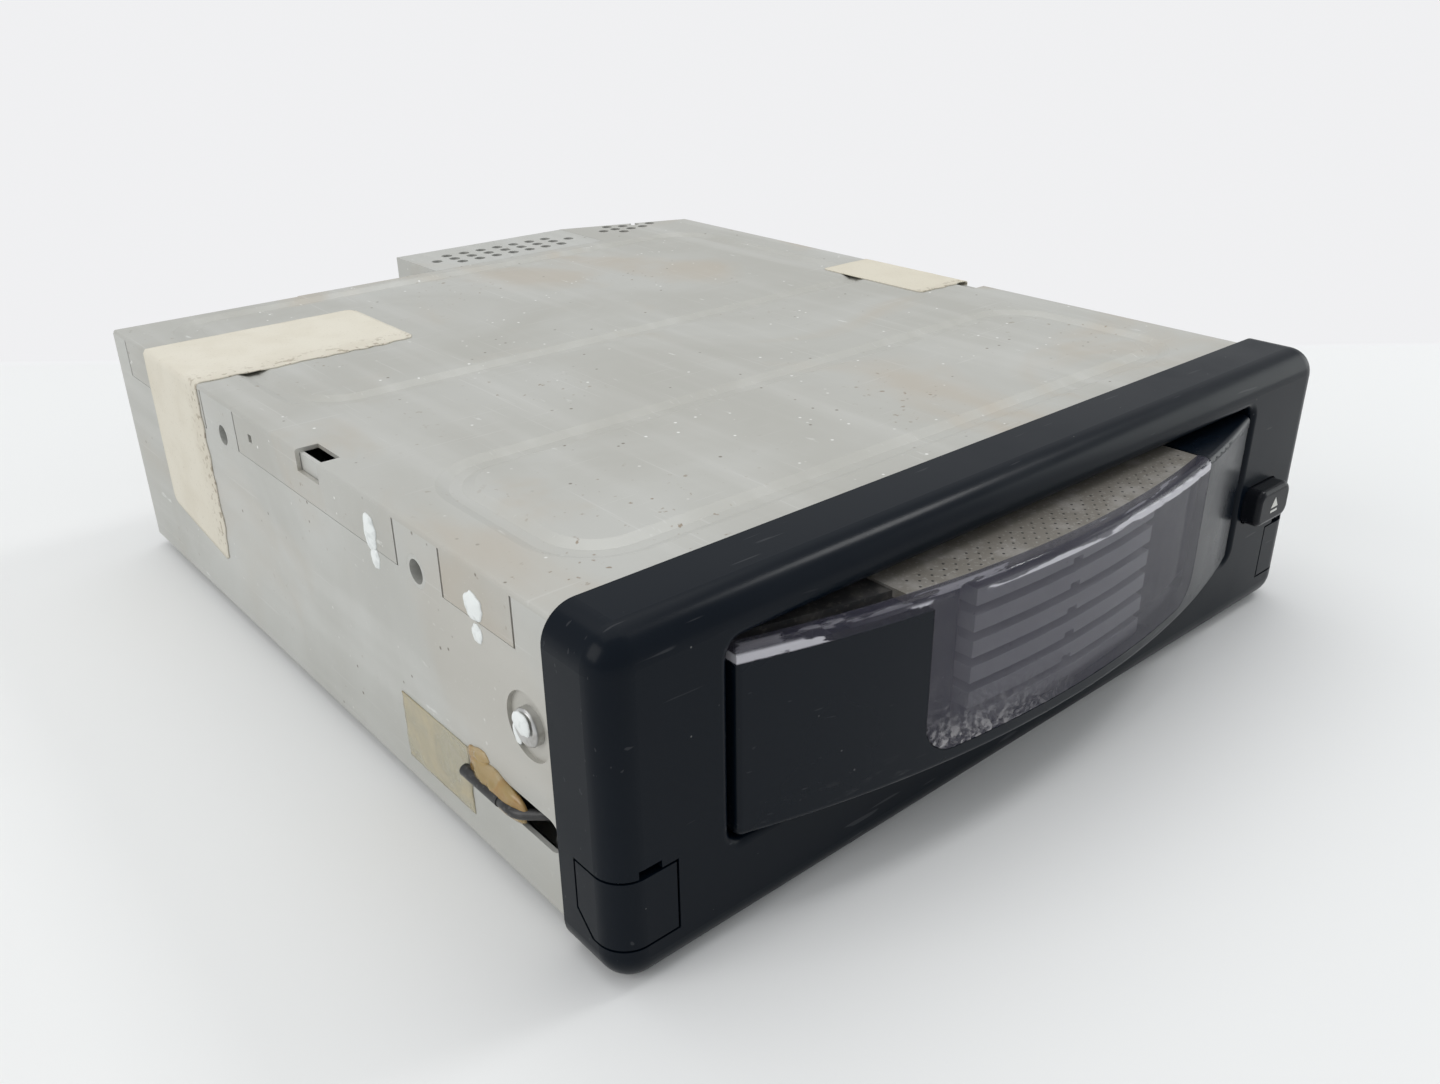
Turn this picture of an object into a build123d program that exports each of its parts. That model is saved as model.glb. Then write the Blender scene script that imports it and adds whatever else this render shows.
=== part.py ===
"""Car CD changer for a single dashboard slot, with a six-disc magazine that slides out of the faceplate.

Frame: +X to the right as seen from the front, +Y to the back, +Z up, in millimetres. The origin is at the
centre of the base of the whole changer. Every length below is a real size of the object.
"""
import os
from math import cos, pi, radians, sin, sqrt

from build123d import *

os.makedirs("parts", exist_ok=True)

# ---------------------------------------------------------------- driving dimensions
# discs and trays
disc_diameter = 120.0
tray_count = 6
tray_pitch = 4.65
tray_height = 2.95
tray_floor = 0.9
tray_slot_width = 41.0
tray_slot_ahead = 2.3      # slot in front of the turntable at play
tray_shoulder = 8.0        # front of the tray's straight sides, behind the face plane
tray_corner_margin = 2.4   # rounded rear corners beyond the straight sides
tray_tab_width = 49.0
tray_side_margin = 3.6     # tray edge beyond the disc, each side
tray_lip = 1.2              # running lip beyond the tray edge
lip_thickness = 0.8
tray_notch = 2.6            # finger notch in each front tab

# magazine
case_plate = 1.0            # floor and top
case_side = 2.0
groove_depth = 1.0          # guide grooves in the case sides
groove_height = 4.4
front_bulge = 10.5          # how far the middle of the magazine front stands out of the face
front_skin = 1.8
front_side_extra = 0.55     # front block wider than the case, each side
front_extra_height = 0.6    # front block taller than the case, above and below
case_setback = 5.7          # case front behind the outside of the front skin
block_back = 5.0            # front block's back behind the face plane
window_left = 36.0          # window edges from the magazine's centre line
window_right = 41.5
window_sill = 3.0
window_corner = 6.0
window_thickness = 1.6
seam = 0.15
top_strip = 2.2             # height of the clear and glossy top edge strips
top_strip_depth = 2.8

# faceplate
face_depth = 13.7
face_edge_radius = 5.0
face_wall = 2.4
opening_side_gap = 1.25     # between the magazine front and the opening
opening_gap_below = 0.5
opening_gap_above = 1.7
opening_corner = 2.5
opening_lip = 1.4
opening_sleeve = 1.2
face_left = 20.5            # face beside the opening
face_right = 25.5
face_below = 16.5
face_above = 7.0

# eject button and latch
button_width = 12.9
button_height = 7.9
button_proud = 3.6
button_body = 5.6
button_gap = 0.3
button_side = 9.0           # button centre from the opening's right edge
button_level = 27.5
button_travel = 2.2
stem_size = 2.0
lever_reach = 8.5
lever_thickness = 3.0
latch_pin_radius = 1.5
pin_gap = 0.06              # running clearance of every pin, shaft and bush

# pry-off covers at the lower corners
cover_width = 10.5
cover_low = 7.5
cover_high = 19.2
cover_side_depth = 9.5
cover_gap = 0.4
cover_wall = 1.7
cover_corner_cut = 3.5
pry_slot_width = 3.9
pry_slot_height = 1.7
pry_slot_depth = 1.4

# sheet-metal case
sheet = 0.8
side_inset = 2.1            # case side behind the faceplate's edge
floor_level = 2.8           # underside of the pan above the resting plane
lid_headroom = 5.7          # magazine top to the lid's underside
tab_height = 9.0            # depth of the lid's side tabs
tab_gap = 0.5               # open slot at each end of a tab
fit_gap = 0.1
foot_radius = 5.0
rear_block_depth = 23.4
rear_block_left = 5.3       # left of the face's centre line
rear_seam = 50.5            # right of the face's centre line
rear_slant = 14.6
lid_bend = 0.6              # outside radius of the lid's long edges
lid_bead_width = 6.4
lid_bead_depth = 0.8
lid_front_margin = 11.3
lid_front_bead_length = 43.0
lid_rear_bead_length = 78.0
lid_bead_space = 45.5       # between the two beads
lid_left_margin = 11.9
lid_right_margin = 12.9
bead_corner = 11.0
vent_hole = 3.1
vent_row_pitch = 4.5
side_hole_height = 44.4     # threaded side holes above the pan's underside
side_hole_first = 38.7      # behind the faceplate
side_hole_spacing = 80.0
side_hole_radius = 2.1
nut_radius = 4.2
nut_length = 3.2
nut_collar = 2.9
press_gap = 0.02
side_screw_y = 8.9          # behind the faceplate
side_screw_z = 31.0         # above the pan's underside
screw_head = 3.1
dimple_radius = 5.6
front_frame_sheet = 1.0
lead_radius = 0.9
sleeve_radius = 1.05

# mechanism
plate_clearance = 2.4       # base plate above the pan's floor, the dampers' height
plate_sheet = 1.0
damper_radius = 5.0
guide_wall = 2.5
guide_gap = 0.4
guide_ledge = 1.5
guide_lip = 3.4
spindle_clear = 1.2         # tray edge at rest to the deck
turntable_radius = 12.0
turntable_thickness = 2.4
hub_radius = 7.3
hub_height = 2.0
deck_half_width = 19.0
deck_sheet = 1.2
disc_lift = 0.6             # turntable lifts the disc off its tray
disc_thickness = 1.2
motor_radius = 9.5
motor_gap = 0.3
post_radius = 2.0
post_side = 50.0            # posts and lift screw, from the magazine's centre line
post_reach = 52.7           # behind the spindle
bush_radius = 4.0
bush_length = 8.0
wing_height = 7.0
shelf_radius = 5.0
screw_side = 62.0
screw_reach = 50.7
screw_radius = 2.0
gear_module = 0.7
gear_teeth = 24
pinion_teeth = 12
gear_thickness = 3.0
lift_motor_radius = 6.5
lift_motor_length = 22.0
sled_travel = 33.5
lens_radius = 2.2
lens_inner = 23.5           # lens nearest the spindle
rod_radius = 1.25
rod_side = 15.0
arm_thickness = 1.2
arm_half_width = 7.0
puck_radius = 9.0
puck_height = 2.7
board_thickness = 1.2
paper = 0.25
tape = 0.2

# small features
foot_inset = 14.0
slant_start = 0.3
back_step_width = 45.0
back_step = 0.6
notch_depth = 4.4
notch_drop = 4.0
vents_left_pitch = 5.56      # between the columns of the left group
vents_left_inset = 5.8       # first hole from the rear block's left edge
vents_left_depth = 10.2      # middle row behind the case's back
vents_right_pitch = 4.5
vents_right_inset = 8.5      # first hole from the rear seam
vents_right_depth = 11.5
socket_centre = 20.0
socket_width = 24.0
socket_height = 12.0
socket_level = 24.0
socket_depth = 11.0
socket_wall = 1.6
screw_shank = 1.5
screw_head_height = 1.6
pan_head = 2.8
pan_head_height = 1.6
cap_head = 3.4
cap_head_height = 3.4
hex_socket_radius = 2.0
ear_reach = 4.0
fixing_inset = 6.5
fixing_radius = 2.5
boss_radius = 3.0
button_corner = 2.5
button_edge = 1.2
cover_peg = 6.0
lead_bends = [1.5, 5.0, 4.0, 4.0]
left_label = (143.5, 176.0)     # behind the face plane
left_label_width = 49.4
left_label_drop = 38.0
right_label = (92.0, 127.0)
right_label_width = 17.5
right_label_drop = 20.0
latch_shoulder = 34.0           # front end of the latch groove, behind the face plane
front_round = 1.2
front_floor = 1.4
recess_ribs = (49.0, 61.0)
rib_width = 3.0
grip_beyond = 2.5
grip_drop = 0.5
strip_round = 1.2
strip_back = 3.0
grip_back = 4.6
tray_front = -2.5               # tray and tab fronts behind the face plane
tab_setback = 2.9
base_left = 82.0                # base plate edges from the magazine's centre line
base_right = 89.0
damper_inset = 4.0
pin_columns = 6
ribbon_thickness = 0.5

# ---------------------------------------------------------------- derived sizes and places
tray_half_width = disc_diameter / 2 + tray_side_margin
case_half_width = tray_half_width + case_side + 1.6
stack_height = tray_count * tray_pitch
case_height = stack_height + 2 * case_plate + 0.4
front_height = case_height + 2 * front_extra_height
front_half_width = case_half_width + front_side_extra

opening_width = 2 * (front_half_width + opening_side_gap)
opening_height = front_height + opening_gap_below + opening_gap_above
face_width = face_left + opening_width + face_right
face_height = face_below + opening_height + face_above
face_corner_radius = face_edge_radius + 0.6
mag_x = -face_width / 2 + face_left + opening_width / 2

opening_z = (face_below, face_below + opening_height)
front_z = (face_below + opening_gap_below, face_below + opening_gap_below + front_height)
case_z = (front_z[0] + front_extra_height, front_z[1] - front_extra_height)
first_tray_z = case_z[0] + case_plate + 0.2
lid_under = front_z[1] + lid_headroom
lid_top = lid_under + sheet
pan_floor = floor_level + sheet
wall_x = face_width / 2 - side_inset
wall_inner = wall_x - sheet

# depths are set out from the face plane, then the origin is put at the middle of the whole depth
disc_rest = disc_diameter / 2 - 0.5
tray_rear = disc_rest + disc_diameter / 2 - 0.2
case_rear = tray_rear + 1.7
deck_front = case_rear + spindle_clear
spindle_depth = deck_front + turntable_radius + 0.8
tray_travel = spindle_depth - disc_rest
deck_rear = spindle_depth + disc_diameter / 2 + 1.7
case_back_depth = deck_rear + 1.5
overall_back = case_back_depth + rear_block_depth
y_face = front_bulge - (front_bulge + overall_back) / 2


def deep(distance: float) -> float:
    """Y of a point this far behind the face plane."""
    return y_face + distance


y_chassis = deep(face_depth)
y_case_back = deep(case_back_depth)
y_back = deep(overall_back)
spindle_y = deep(spindle_depth)
disc_rest_y = deep(disc_rest)
plate_z = pan_floor + plate_clearance
plate_top = plate_z + plate_sheet
play_z = first_tray_z + tray_floor + disc_lift
lift_travel = (tray_count - 1) * tray_pitch
bulge_radius = (front_half_width**2 + front_bulge**2) / (2 * front_bulge)
bulge_centre = (mag_x, deep(-front_bulge) + bulge_radius)
button_x = mag_x + opening_width / 2 + button_side
latch_hook_y = (deep(latch_shoulder + 3.0), deep(latch_shoulder + 6.0))


# ---------------------------------------------------------------- helpers
def block(x, y, z, mode=Mode.ADD):
    """A box given by its low and high x, y and z."""
    with Locations(((x[0] + x[1]) / 2, (y[0] + y[1]) / 2, (z[0] + z[1]) / 2)):
        return Box(x[1] - x[0], y[1] - y[0], z[1] - z[0], mode=mode)


def bar_x(x, y, z, radius, mode=Mode.ADD):
    """A round bar along X."""
    with Locations(Location(((x[0] + x[1]) / 2, y, z), (0, 90, 0))):
        return Cylinder(radius, x[1] - x[0], mode=mode)


def bar_y(x, y, z, radius, mode=Mode.ADD):
    """A round bar along Y."""
    with Locations(Location((x, (y[0] + y[1]) / 2, z), (90, 0, 0))):
        return Cylinder(radius, y[1] - y[0], mode=mode)


def bar_z(x, y, z, radius, mode=Mode.ADD):
    """A round bar along Z."""
    with Locations((x, y, (z[0] + z[1]) / 2)):
        return Cylinder(radius, z[1] - z[0], mode=mode)


def prism_z(points, z, mode=Mode.ADD):
    """A flat outline in plan, from the first height to the second."""
    with BuildSketch(Plane.XY.offset(z[0])) as outline:
        with BuildLine():
            Polyline(*points, close=True)
        make_face()
    return extrude(outline.sketch, amount=z[1] - z[0], mode=mode)


def prism_x(points, x, mode=Mode.ADD):
    """An outline of (y, z) points, from the first x to the second."""
    with BuildSketch(Plane.YZ.offset(x[0])) as outline:
        with BuildLine():
            Polyline(*points, close=True)
        make_face()
    return extrude(outline.sketch, amount=x[1] - x[0], mode=mode)


def face_panel(x, z, y, corner, mode=Mode.ADD):
    """A round-cornered panel seen from the front, from the front y to the back y."""
    with BuildSketch(Plane.XZ.offset(-y[1])) as panel:
        with Locations(((x[0] + x[1]) / 2, (z[0] + z[1]) / 2)):
            RectangleRounded(x[1] - x[0], z[1] - z[0], corner)
    return extrude(panel.sketch, amount=y[1] - y[0], mode=mode)


def plan_panel(x, y, z, corner, mode=Mode.ADD):
    """A round-cornered panel seen from above, from the first height to the second."""
    with BuildSketch(Plane.XY.offset(z[0])) as panel:
        with Locations(((x[0] + x[1]) / 2, (y[0] + y[1]) / 2)):
            RectangleRounded(x[1] - x[0], y[1] - y[0], corner)
    return extrude(panel.sketch, amount=z[1] - z[0], mode=mode)


def bulge_plate(inset, x, back, z, mode=Mode.ADD):
    """The magazine front's plan, set in from its outside, between two x, forward of a back line."""
    reach = bulge_radius - inset
    with BuildSketch(Plane.XY.offset(z[0])) as plan:
        with Locations(bulge_centre):
            Circle(reach)
        with Locations(((x[0] + x[1]) / 2, (deep(-2 * front_bulge) + back) / 2)):
            Rectangle(x[1] - x[0], back - deep(-2 * front_bulge), mode=Mode.INTERSECT)
    return extrude(plan.sketch, amount=z[1] - z[0], mode=mode)


def toothed_wheel(x, y, z, teeth, turn, mode=Mode.ADD):
    """A spur wheel with straight-flanked teeth."""
    pitch_radius = gear_module * teeth / 2
    root = pitch_radius - 1.1 * gear_module
    tip = pitch_radius + 0.75 * gear_module
    step = 2 * pi / teeth
    points = []
    for tooth in range(teeth):
        middle = radians(turn) + tooth * step
        for radius, share in ((root, -0.33), (tip, -0.12), (tip, 0.12), (root, 0.33)):
            angle = middle + share * step
            points.append((x + radius * cos(angle), y + radius * sin(angle)))
    return prism_z(points, z, mode)


def save(piece, name):
    """Label a finished piece and write it to its file."""
    piece.part.label = name
    export_step(piece.part, f"parts/{name}.step")


# ---------------------------------------------------------------- sheet-metal case
def both(side, near, far):
    """A low and high x pair on one side of the middle, from two distances."""
    return (min(side * near, side * far), max(side * near, side * far))


footprint = [
    (-wall_x, y_chassis),
    (wall_x, y_chassis),
    (wall_x, y_back - rear_slant),
    (rear_seam, y_back),
    (-rear_block_left, y_back),
    (-rear_block_left, y_case_back),
    (-wall_x, y_case_back),
]
slant_run = wall_x - rear_seam
slant_sheet = sheet * sqrt(rear_slant**2 + slant_run**2) / slant_run
side_hole_y = (y_chassis + side_hole_first, y_chassis + side_hole_first + side_hole_spacing)
side_hole_z = floor_level + side_hole_height
screw_y = y_chassis + side_screw_y
screw_z = floor_level + side_screw_z
tab_low = lid_top - tab_height
# the lid's side tabs, each from its front to its back, clear of the threaded holes
tabs = [
    (y_chassis + 10.8, side_hole_y[0] - 8.4),
    (side_hole_y[0] + 6.6, side_hole_y[1] - 8.0),
    (side_hole_y[1] + 10.0, y_case_back - 9.0),
]
notch = (tabs[1][0] + 27.0, tabs[1][0] + 36.0)
lead_cut = (y_chassis + 2.6, y_chassis + 20.0)
lead_cut_height = 5.8
lead_level = floor_level + 13.9
bead_x = (-wall_x + lid_left_margin, wall_x - lid_right_margin)
front_bead = (y_chassis + lid_front_margin, y_chassis + lid_front_margin + lid_front_bead_length)
rear_bead = (front_bead[1] + lid_bead_space, front_bead[1] + lid_bead_space + lid_rear_bead_length)

with BuildPart() as bottom_pan:
    prism_z(footprint, (floor_level, pan_floor))
    # rear wall left of the rear block
    block((-wall_inner, -rear_block_left - fit_gap), (y_case_back - sheet, y_case_back),
          (floor_level, lid_under))
    # slanted rear wall, from the seam to the right side
    slant_y = y_back - slant_start * rear_slant / slant_run
    slanted = [
        (rear_seam + slant_start, slant_y),
        (wall_x, y_back - rear_slant),
        (wall_x, y_back - rear_slant - slant_sheet),
        (rear_seam + slant_start, slant_y - slant_sheet),
    ]
    prism_z(slanted, (floor_level, lid_under))
    # the side walls stand beside the floor and the rear walls
    for side in (-1, 1):
        beside = both(side, wall_inner, wall_x + 1)
        block(beside, (y_chassis - 1, y_back + 1), (floor_level, lid_under), Mode.SUBTRACT)
    # pressed feet, level with the bottom of the faceplate
    for foot_x in (-wall_x + foot_inset, wall_x - foot_inset):
        for foot_y in (y_chassis + 2 * foot_inset, y_case_back - foot_inset):
            bar_z(foot_x, foot_y, (0.0, floor_level), foot_radius)
save(bottom_pan, "bottom_pan")


def side_wall(side, wall_back):
    """One upright side of the case, drawn into the piece that is open."""
    block(both(side, wall_inner, wall_x), (y_chassis, wall_back), (floor_level, lid_under))
    # joggled strips that the lid's tabs lie against
    strip = wall_inner - fit_gap
    strip_low = tab_low - fit_gap
    for tab_front, tab_back in tabs:
        span = (tab_front - tab_gap, tab_back + tab_gap)
        block(both(side, strip, wall_x + 1), span, (strip_low, lid_top), Mode.SUBTRACT)
        block(both(side, strip - sheet, strip), span, (strip_low - sheet, lid_under))
        block(both(side, strip - sheet, wall_x), span, (strip_low - sheet, strip_low))
    # pressed round dimple for the side screw
    bar_x(both(side, wall_inner - sheet, wall_x), screw_y, screw_z, dimple_radius + sheet)
    bar_x(both(side, wall_inner, wall_x + 1), screw_y, screw_z, dimple_radius, Mode.SUBTRACT)
    bar_x(both(side, wall_inner - 2, wall_x + 1), screw_y, screw_z, screw_shank + press_gap, Mode.SUBTRACT)
    for hole_y in side_hole_y:
        bar_x(both(side, wall_inner - 1, wall_x + 1), hole_y, side_hole_z, nut_collar + press_gap,
              Mode.SUBTRACT)


with BuildPart() as left_side:
    side_wall(-1, y_case_back)
    # cut-out for the lamp's lead
    with BuildSketch(Plane.YZ.offset(-wall_x - 1)):
        with Locations(((lead_cut[0] + lead_cut[1]) / 2, lead_level)):
            SlotOverall(lead_cut[1] - lead_cut[0], lead_cut_height)
    extrude(amount=sheet + 2, mode=Mode.SUBTRACT)
save(left_side, "left_side")

with BuildPart() as right_side:
    side_wall(1, y_back - rear_slant)
save(right_side, "right_side")


def bead_ring(y, z, mode):
    """A soft pressed ring round one field of the lid, pressed down from a given height."""
    with BuildLine(Plane.XY.offset(z)) as path:
        corners = [(bead_x[0], y[0]), (bead_x[1], y[0]), (bead_x[1], y[1]), (bead_x[0], y[1])]
        FilletPolyline(*corners, radius=bead_corner, close=True)
    loop = path.wires()[0]
    half = lid_bead_width / 2
    with BuildSketch(Plane(origin=loop @ 0, x_dir=(0, 0, 1), z_dir=loop % 0)) as profile:
        with BuildLine():
            Polyline((0, -half), (-lid_bead_depth, -half / 3), (-lid_bead_depth, half / 3), (0, half),
                     close=True)
        make_face()
    return sweep(profile.sketch, path=loop, mode=mode)


vents_right = [(0, 1), (1, 3), (2, 2), (3, 2), (4, 1)]
vents_left = [(0, 1), (1, 3), (2, 3), (3, 3), (4, 3), (5, 3), (6, 3), (7, 3), (8, 1)]


def vent_columns(columns, pitch, first, z):
    """Columns of round vent holes, each with its own count, to the right of the first one."""
    for column, count in columns:
        for row in range(count):
            x = first[0] + column * pitch
            y = first[1] - (row - (count - 1) / 2) * vent_row_pitch
            bar_z(x, y, z, vent_hole / 2, Mode.SUBTRACT)


with BuildPart() as top_lid:
    block((-wall_x, wall_x), (y_chassis, y_case_back), (lid_under, lid_top))
    tail = [
        (rear_seam + fit_gap, y_case_back - 1),
        (wall_x, y_case_back - 1),
        (wall_x, y_back - rear_slant),
        (rear_seam + fit_gap, y_back - fit_gap * rear_slant / slant_run),
    ]
    prism_z(tail, (lid_under, lid_top))
    for side in (-1, 1):
        for tab in tabs:
            block(both(side, wall_inner, wall_x), tab, (tab_low, lid_top))
    long_edges = top_lid.edges().filter_by(Axis.Y).group_by(Axis.Z)[-1].group_by(Axis.X)
    fillet(long_edges[0] + long_edges[-1], radius=lid_bend)
    for bead in (front_bead, rear_bead):
        bead_ring(bead, lid_under, Mode.ADD)
        bead_ring(bead, lid_top, Mode.SUBTRACT)
    # a low step along the left part of the back edge, and a small corner tab
    block((-wall_x - 1, -wall_x + back_step_width), (y_case_back - back_step, y_case_back + 1),
          (lid_under - 1, lid_top + 1), Mode.SUBTRACT)
    # latch notches in both side tabs
    for side in (-1, 1):
        block(both(side, wall_x - notch_depth, wall_x + 1), notch, (lid_top - notch_drop, lid_top + 1),
              Mode.SUBTRACT)
        block(both(side, wall_x - sheet - 1, wall_x + 1), (notch[1] + 21.2, notch[1] + 22.8),
              (lid_top - 5.0, lid_top - 3.4), Mode.SUBTRACT)
    vent_columns(vents_right, vents_right_pitch,
                 (rear_seam + vents_right_inset, y_case_back + vents_right_depth),
                 (lid_under - 1, lid_top + 1))
save(top_lid, "top_lid")

rear_cover_x = (-rear_block_left, rear_seam)
socket_x = (socket_centre - socket_width / 2, socket_centre + socket_width / 2)
socket_z = (socket_level, socket_level + socket_height)
with BuildPart() as rear_cover:
    block(rear_cover_x, (y_case_back + fit_gap, y_back), (lid_under, lid_top))
    block((rear_cover_x[0], rear_cover_x[0] + sheet), (y_case_back + fit_gap, y_back), (pan_floor, lid_top))
    block(rear_cover_x, (y_back - sheet, y_back), (pan_floor, lid_top))
    fillet(rear_cover.edges().filter_by(Axis.X).group_by(Axis.Z)[-1].sort_by(Axis.Y)[-1], radius=sheet / 2)
    vent_columns(vents_left, vents_left_pitch,
                 (rear_cover_x[0] + vents_left_inset, y_case_back + vents_left_depth),
                 (lid_under - 1, lid_top + 1))
    block((socket_x[0] - fit_gap, socket_x[1] + fit_gap), (y_back - sheet - 1, y_back + 1),
          (socket_z[0] - fit_gap, socket_z[1] + fit_gap), Mode.SUBTRACT)
save(rear_cover, "rear_cover")

with BuildPart() as clinch_nuts:
    for side in (-1, 1):
        for hole_y in side_hole_y:
            bar_x(both(side, wall_inner - nut_length, wall_inner), hole_y, side_hole_z, nut_radius)
            bar_x(both(side, wall_inner, wall_x), hole_y, side_hole_z, nut_collar)
            bar_x(both(side, wall_inner - nut_length - 1, wall_x + 1), hole_y, side_hole_z,
                  side_hole_radius,
                  Mode.SUBTRACT)
save(clinch_nuts, "clinch_nuts")

frame_y = (y_chassis + fit_gap, y_chassis + fit_gap + front_frame_sheet)
frame_x = wall_inner - sheet - 3 * fit_gap
frame_top = lid_under - lid_bead_depth - 2 * fit_gap
opening_x = (mag_x - opening_width / 2, mag_x + opening_width / 2)
fixing_x = face_width / 2 - fixing_inset
fixing_z = (cover_low + cover_high) / 2
boss_points = [
    (opening_x[0] + 12, (face_wall + opening_z[0] - opening_sleeve) / 2),
    (opening_x[1] - 12, (face_wall + opening_z[0] - opening_sleeve) / 2),
    (opening_x[0] - 10, opening_z[1] - 6),
    (opening_x[1] + 14, opening_z[1] - 6),
]
stem_x = (button_x - stem_size / 2, button_x + stem_size / 2)
stem_z = (button_level - stem_size / 2, button_level + stem_size / 2)
with BuildPart() as front_frame:
    block((-frame_x, frame_x), frame_y, (pan_floor + fit_gap, frame_top))
    block(opening_x, (frame_y[0] - 1, frame_y[1] + 1), opening_z, Mode.SUBTRACT)
    # side ears that take the case screws
    for side in (-1, 1):
        block(both(side, frame_x - front_frame_sheet, frame_x), (frame_y[0], screw_y + ear_reach),
              (screw_z - ear_reach, screw_z + ear_reach))
        bar_x(both(side, frame_x - 3, frame_x + 1), screw_y, screw_z, screw_shank + press_gap,
              Mode.SUBTRACT)
        bar_y(side * fixing_x, (frame_y[0] - 1, frame_y[1] + 1), fixing_z, fixing_radius + 0.2,
              Mode.SUBTRACT)
    for boss_x, boss_z in boss_points:
        bar_y(boss_x, (frame_y[0] - 1, frame_y[1] + 1), boss_z, screw_shank + press_gap, Mode.SUBTRACT)
    block((stem_x[0] - 0.6, stem_x[1] + 0.6), (frame_y[0] - 1, frame_y[1] + 1),
          (stem_z[0] - 0.6, stem_z[1] + 0.6),
          Mode.SUBTRACT)
    # notch that lets the lamp's lead through
    block((-frame_x - 1, -frame_x + 8), (frame_y[0] - 1, frame_y[1] + 1),
          (lead_level + 0.9, lead_level + 7.5),
          Mode.SUBTRACT)
save(front_frame, "front_frame")

with BuildPart() as frame_screws:
    # the two side screws, in the dimples
    for side in (-1, 1):
        bar_x(both(side, wall_inner, wall_inner + screw_head_height), screw_y, screw_z, screw_head)
        bar_x(both(side, frame_x - 4, wall_inner), screw_y, screw_z, screw_shank)
    heads = frame_screws.faces().filter_by(GeomType.PLANE)
    fillet(heads.sort_by(Axis.X)[0].edges() + heads.sort_by(Axis.X)[-1].edges(), radius=0.7)
    # the four screws into the faceplate's bosses
    for boss_x, boss_z in boss_points:
        bar_y(boss_x, (frame_y[1], frame_y[1] + pan_head_height), boss_z, pan_head)
        bar_y(boss_x, (frame_y[0] - 5, frame_y[1]), boss_z, screw_shank)
    # the two hex-socket screws behind the pry-off covers
    for side in (-1, 1):
        bar_y(side * fixing_x, (frame_y[0] - cap_head_height, frame_y[0]), fixing_z, cap_head)
        bar_y(side * fixing_x, (frame_y[0], frame_y[1] + 6), fixing_z, fixing_radius)
        with BuildSketch(Plane.XZ.offset(cap_head_height - frame_y[0])):
            with Locations((side * fixing_x, fixing_z)):
                RegularPolygon(hex_socket_radius, 6)
        extrude(amount=-hex_socket_radius, mode=Mode.SUBTRACT)
save(frame_screws, "frame_screws")

# ---------------------------------------------------------------- faceplate and its small parts
with BuildPart() as face_blank:
    face_panel((-face_width / 2, face_width / 2), (0, face_height), (y_face, y_chassis), face_corner_radius)
    fillet(face_blank.faces().sort_by(Axis.Y)[0].edges(), radius=face_edge_radius)


def cover_prism(side, grow, mode):
    """The corner region of a pry-off cover seen from the side, grown all round by a gap."""
    low = cover_low - grow
    high = cover_high + grow
    rear = deep(cover_side_depth) + grow
    cut = cover_corner_cut
    outline = [(y_face - 1, low), (rear - cut, low), (rear, low + cut), (rear, high), (y_face - 1, high)]
    return prism_x(outline, both(side, face_width / 2 - cover_width - grow, face_width / 2 + 1), mode)


button_x_pair = (button_x - button_width / 2, button_x + button_width / 2)
button_z = (button_level - button_height / 2, button_level + button_height / 2)
with BuildPart() as face_plate:
    add(face_blank.part)
    block((-face_width / 2 + face_wall, face_width / 2 - face_wall), (deep(face_wall), y_chassis + 1),
          (face_wall, face_height - face_wall), Mode.SUBTRACT)
    face_panel((opening_x[0] - opening_sleeve, opening_x[1] + opening_sleeve),
               (opening_z[0] - opening_sleeve, opening_z[1] + opening_sleeve),
               (deep(face_wall / 2), y_chassis - 1.2), opening_corner + opening_sleeve)
    face_panel(opening_x, opening_z, (y_face - 1, y_chassis), opening_corner, Mode.SUBTRACT)
    fillet(face_plate.faces().sort_by(Axis.Y)[0].inner_wires()[0].edges(), radius=opening_lip)
    face_panel((button_x_pair[0] - button_gap, button_x_pair[1] + button_gap),
               (button_z[0] - button_gap, button_z[1] + button_gap), (y_face - 1, deep(face_wall + 1)),
               button_corner + button_gap, Mode.SUBTRACT)
    for side in (-1, 1):
        cover_prism(side, cover_gap, Mode.SUBTRACT)
        slot_x = both(side, face_width / 2 - 8.0, face_width / 2 - 8.0 + pry_slot_width)
        block(slot_x, (y_face - 1, deep(pry_slot_depth)), (cover_high, cover_high + pry_slot_height),
              Mode.SUBTRACT)
    for boss_x, boss_z in boss_points:
        bar_y(boss_x, (deep(face_wall), y_chassis), boss_z, boss_radius)
        bar_y(boss_x, (frame_y[0] - 6, y_chassis + 1), boss_z, screw_shank + press_gap, Mode.SUBTRACT)
save(face_plate, "face_plate")

for side, name in ((-1, "left_screw_cover"), (1, "right_screw_cover")):
    with BuildPart() as screw_cover:
        add(face_blank.part)
        cover_prism(side, 0, Mode.INTERSECT)
        block(both(side, 0, face_width / 2 - cover_wall), (deep(cover_wall), y_chassis + 1),
              (0, face_height),
              Mode.SUBTRACT)
        # peg that holds the cover in its pocket
        block(both(side, face_width / 2 - cover_width - cover_gap + 0.05,
                   face_width / 2 - cover_width + 1.4),
              (deep(cover_wall - 0.3), deep(cover_peg)), (cover_high - 6, cover_high - 2))
    save(screw_cover, name)

with BuildPart() as eject_button:
    face_panel(button_x_pair, button_z, (deep(-button_proud), deep(button_body)), button_corner)
    fillet(eject_button.faces().sort_by(Axis.Y)[0].edges(), radius=button_edge)
    block((button_x_pair[0] - 0.8, button_x_pair[1] + 0.8), (deep(face_wall + 0.3), deep(face_wall + 1.5)),
          (button_z[0] - 0.9, button_z[1] + 0.9))
    lever_front = frame_y[1] + 7.5
    block(stem_x, (deep(button_body) - 0.5, lever_front - 0.35), stem_z)
save(eject_button, "eject_button")

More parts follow.
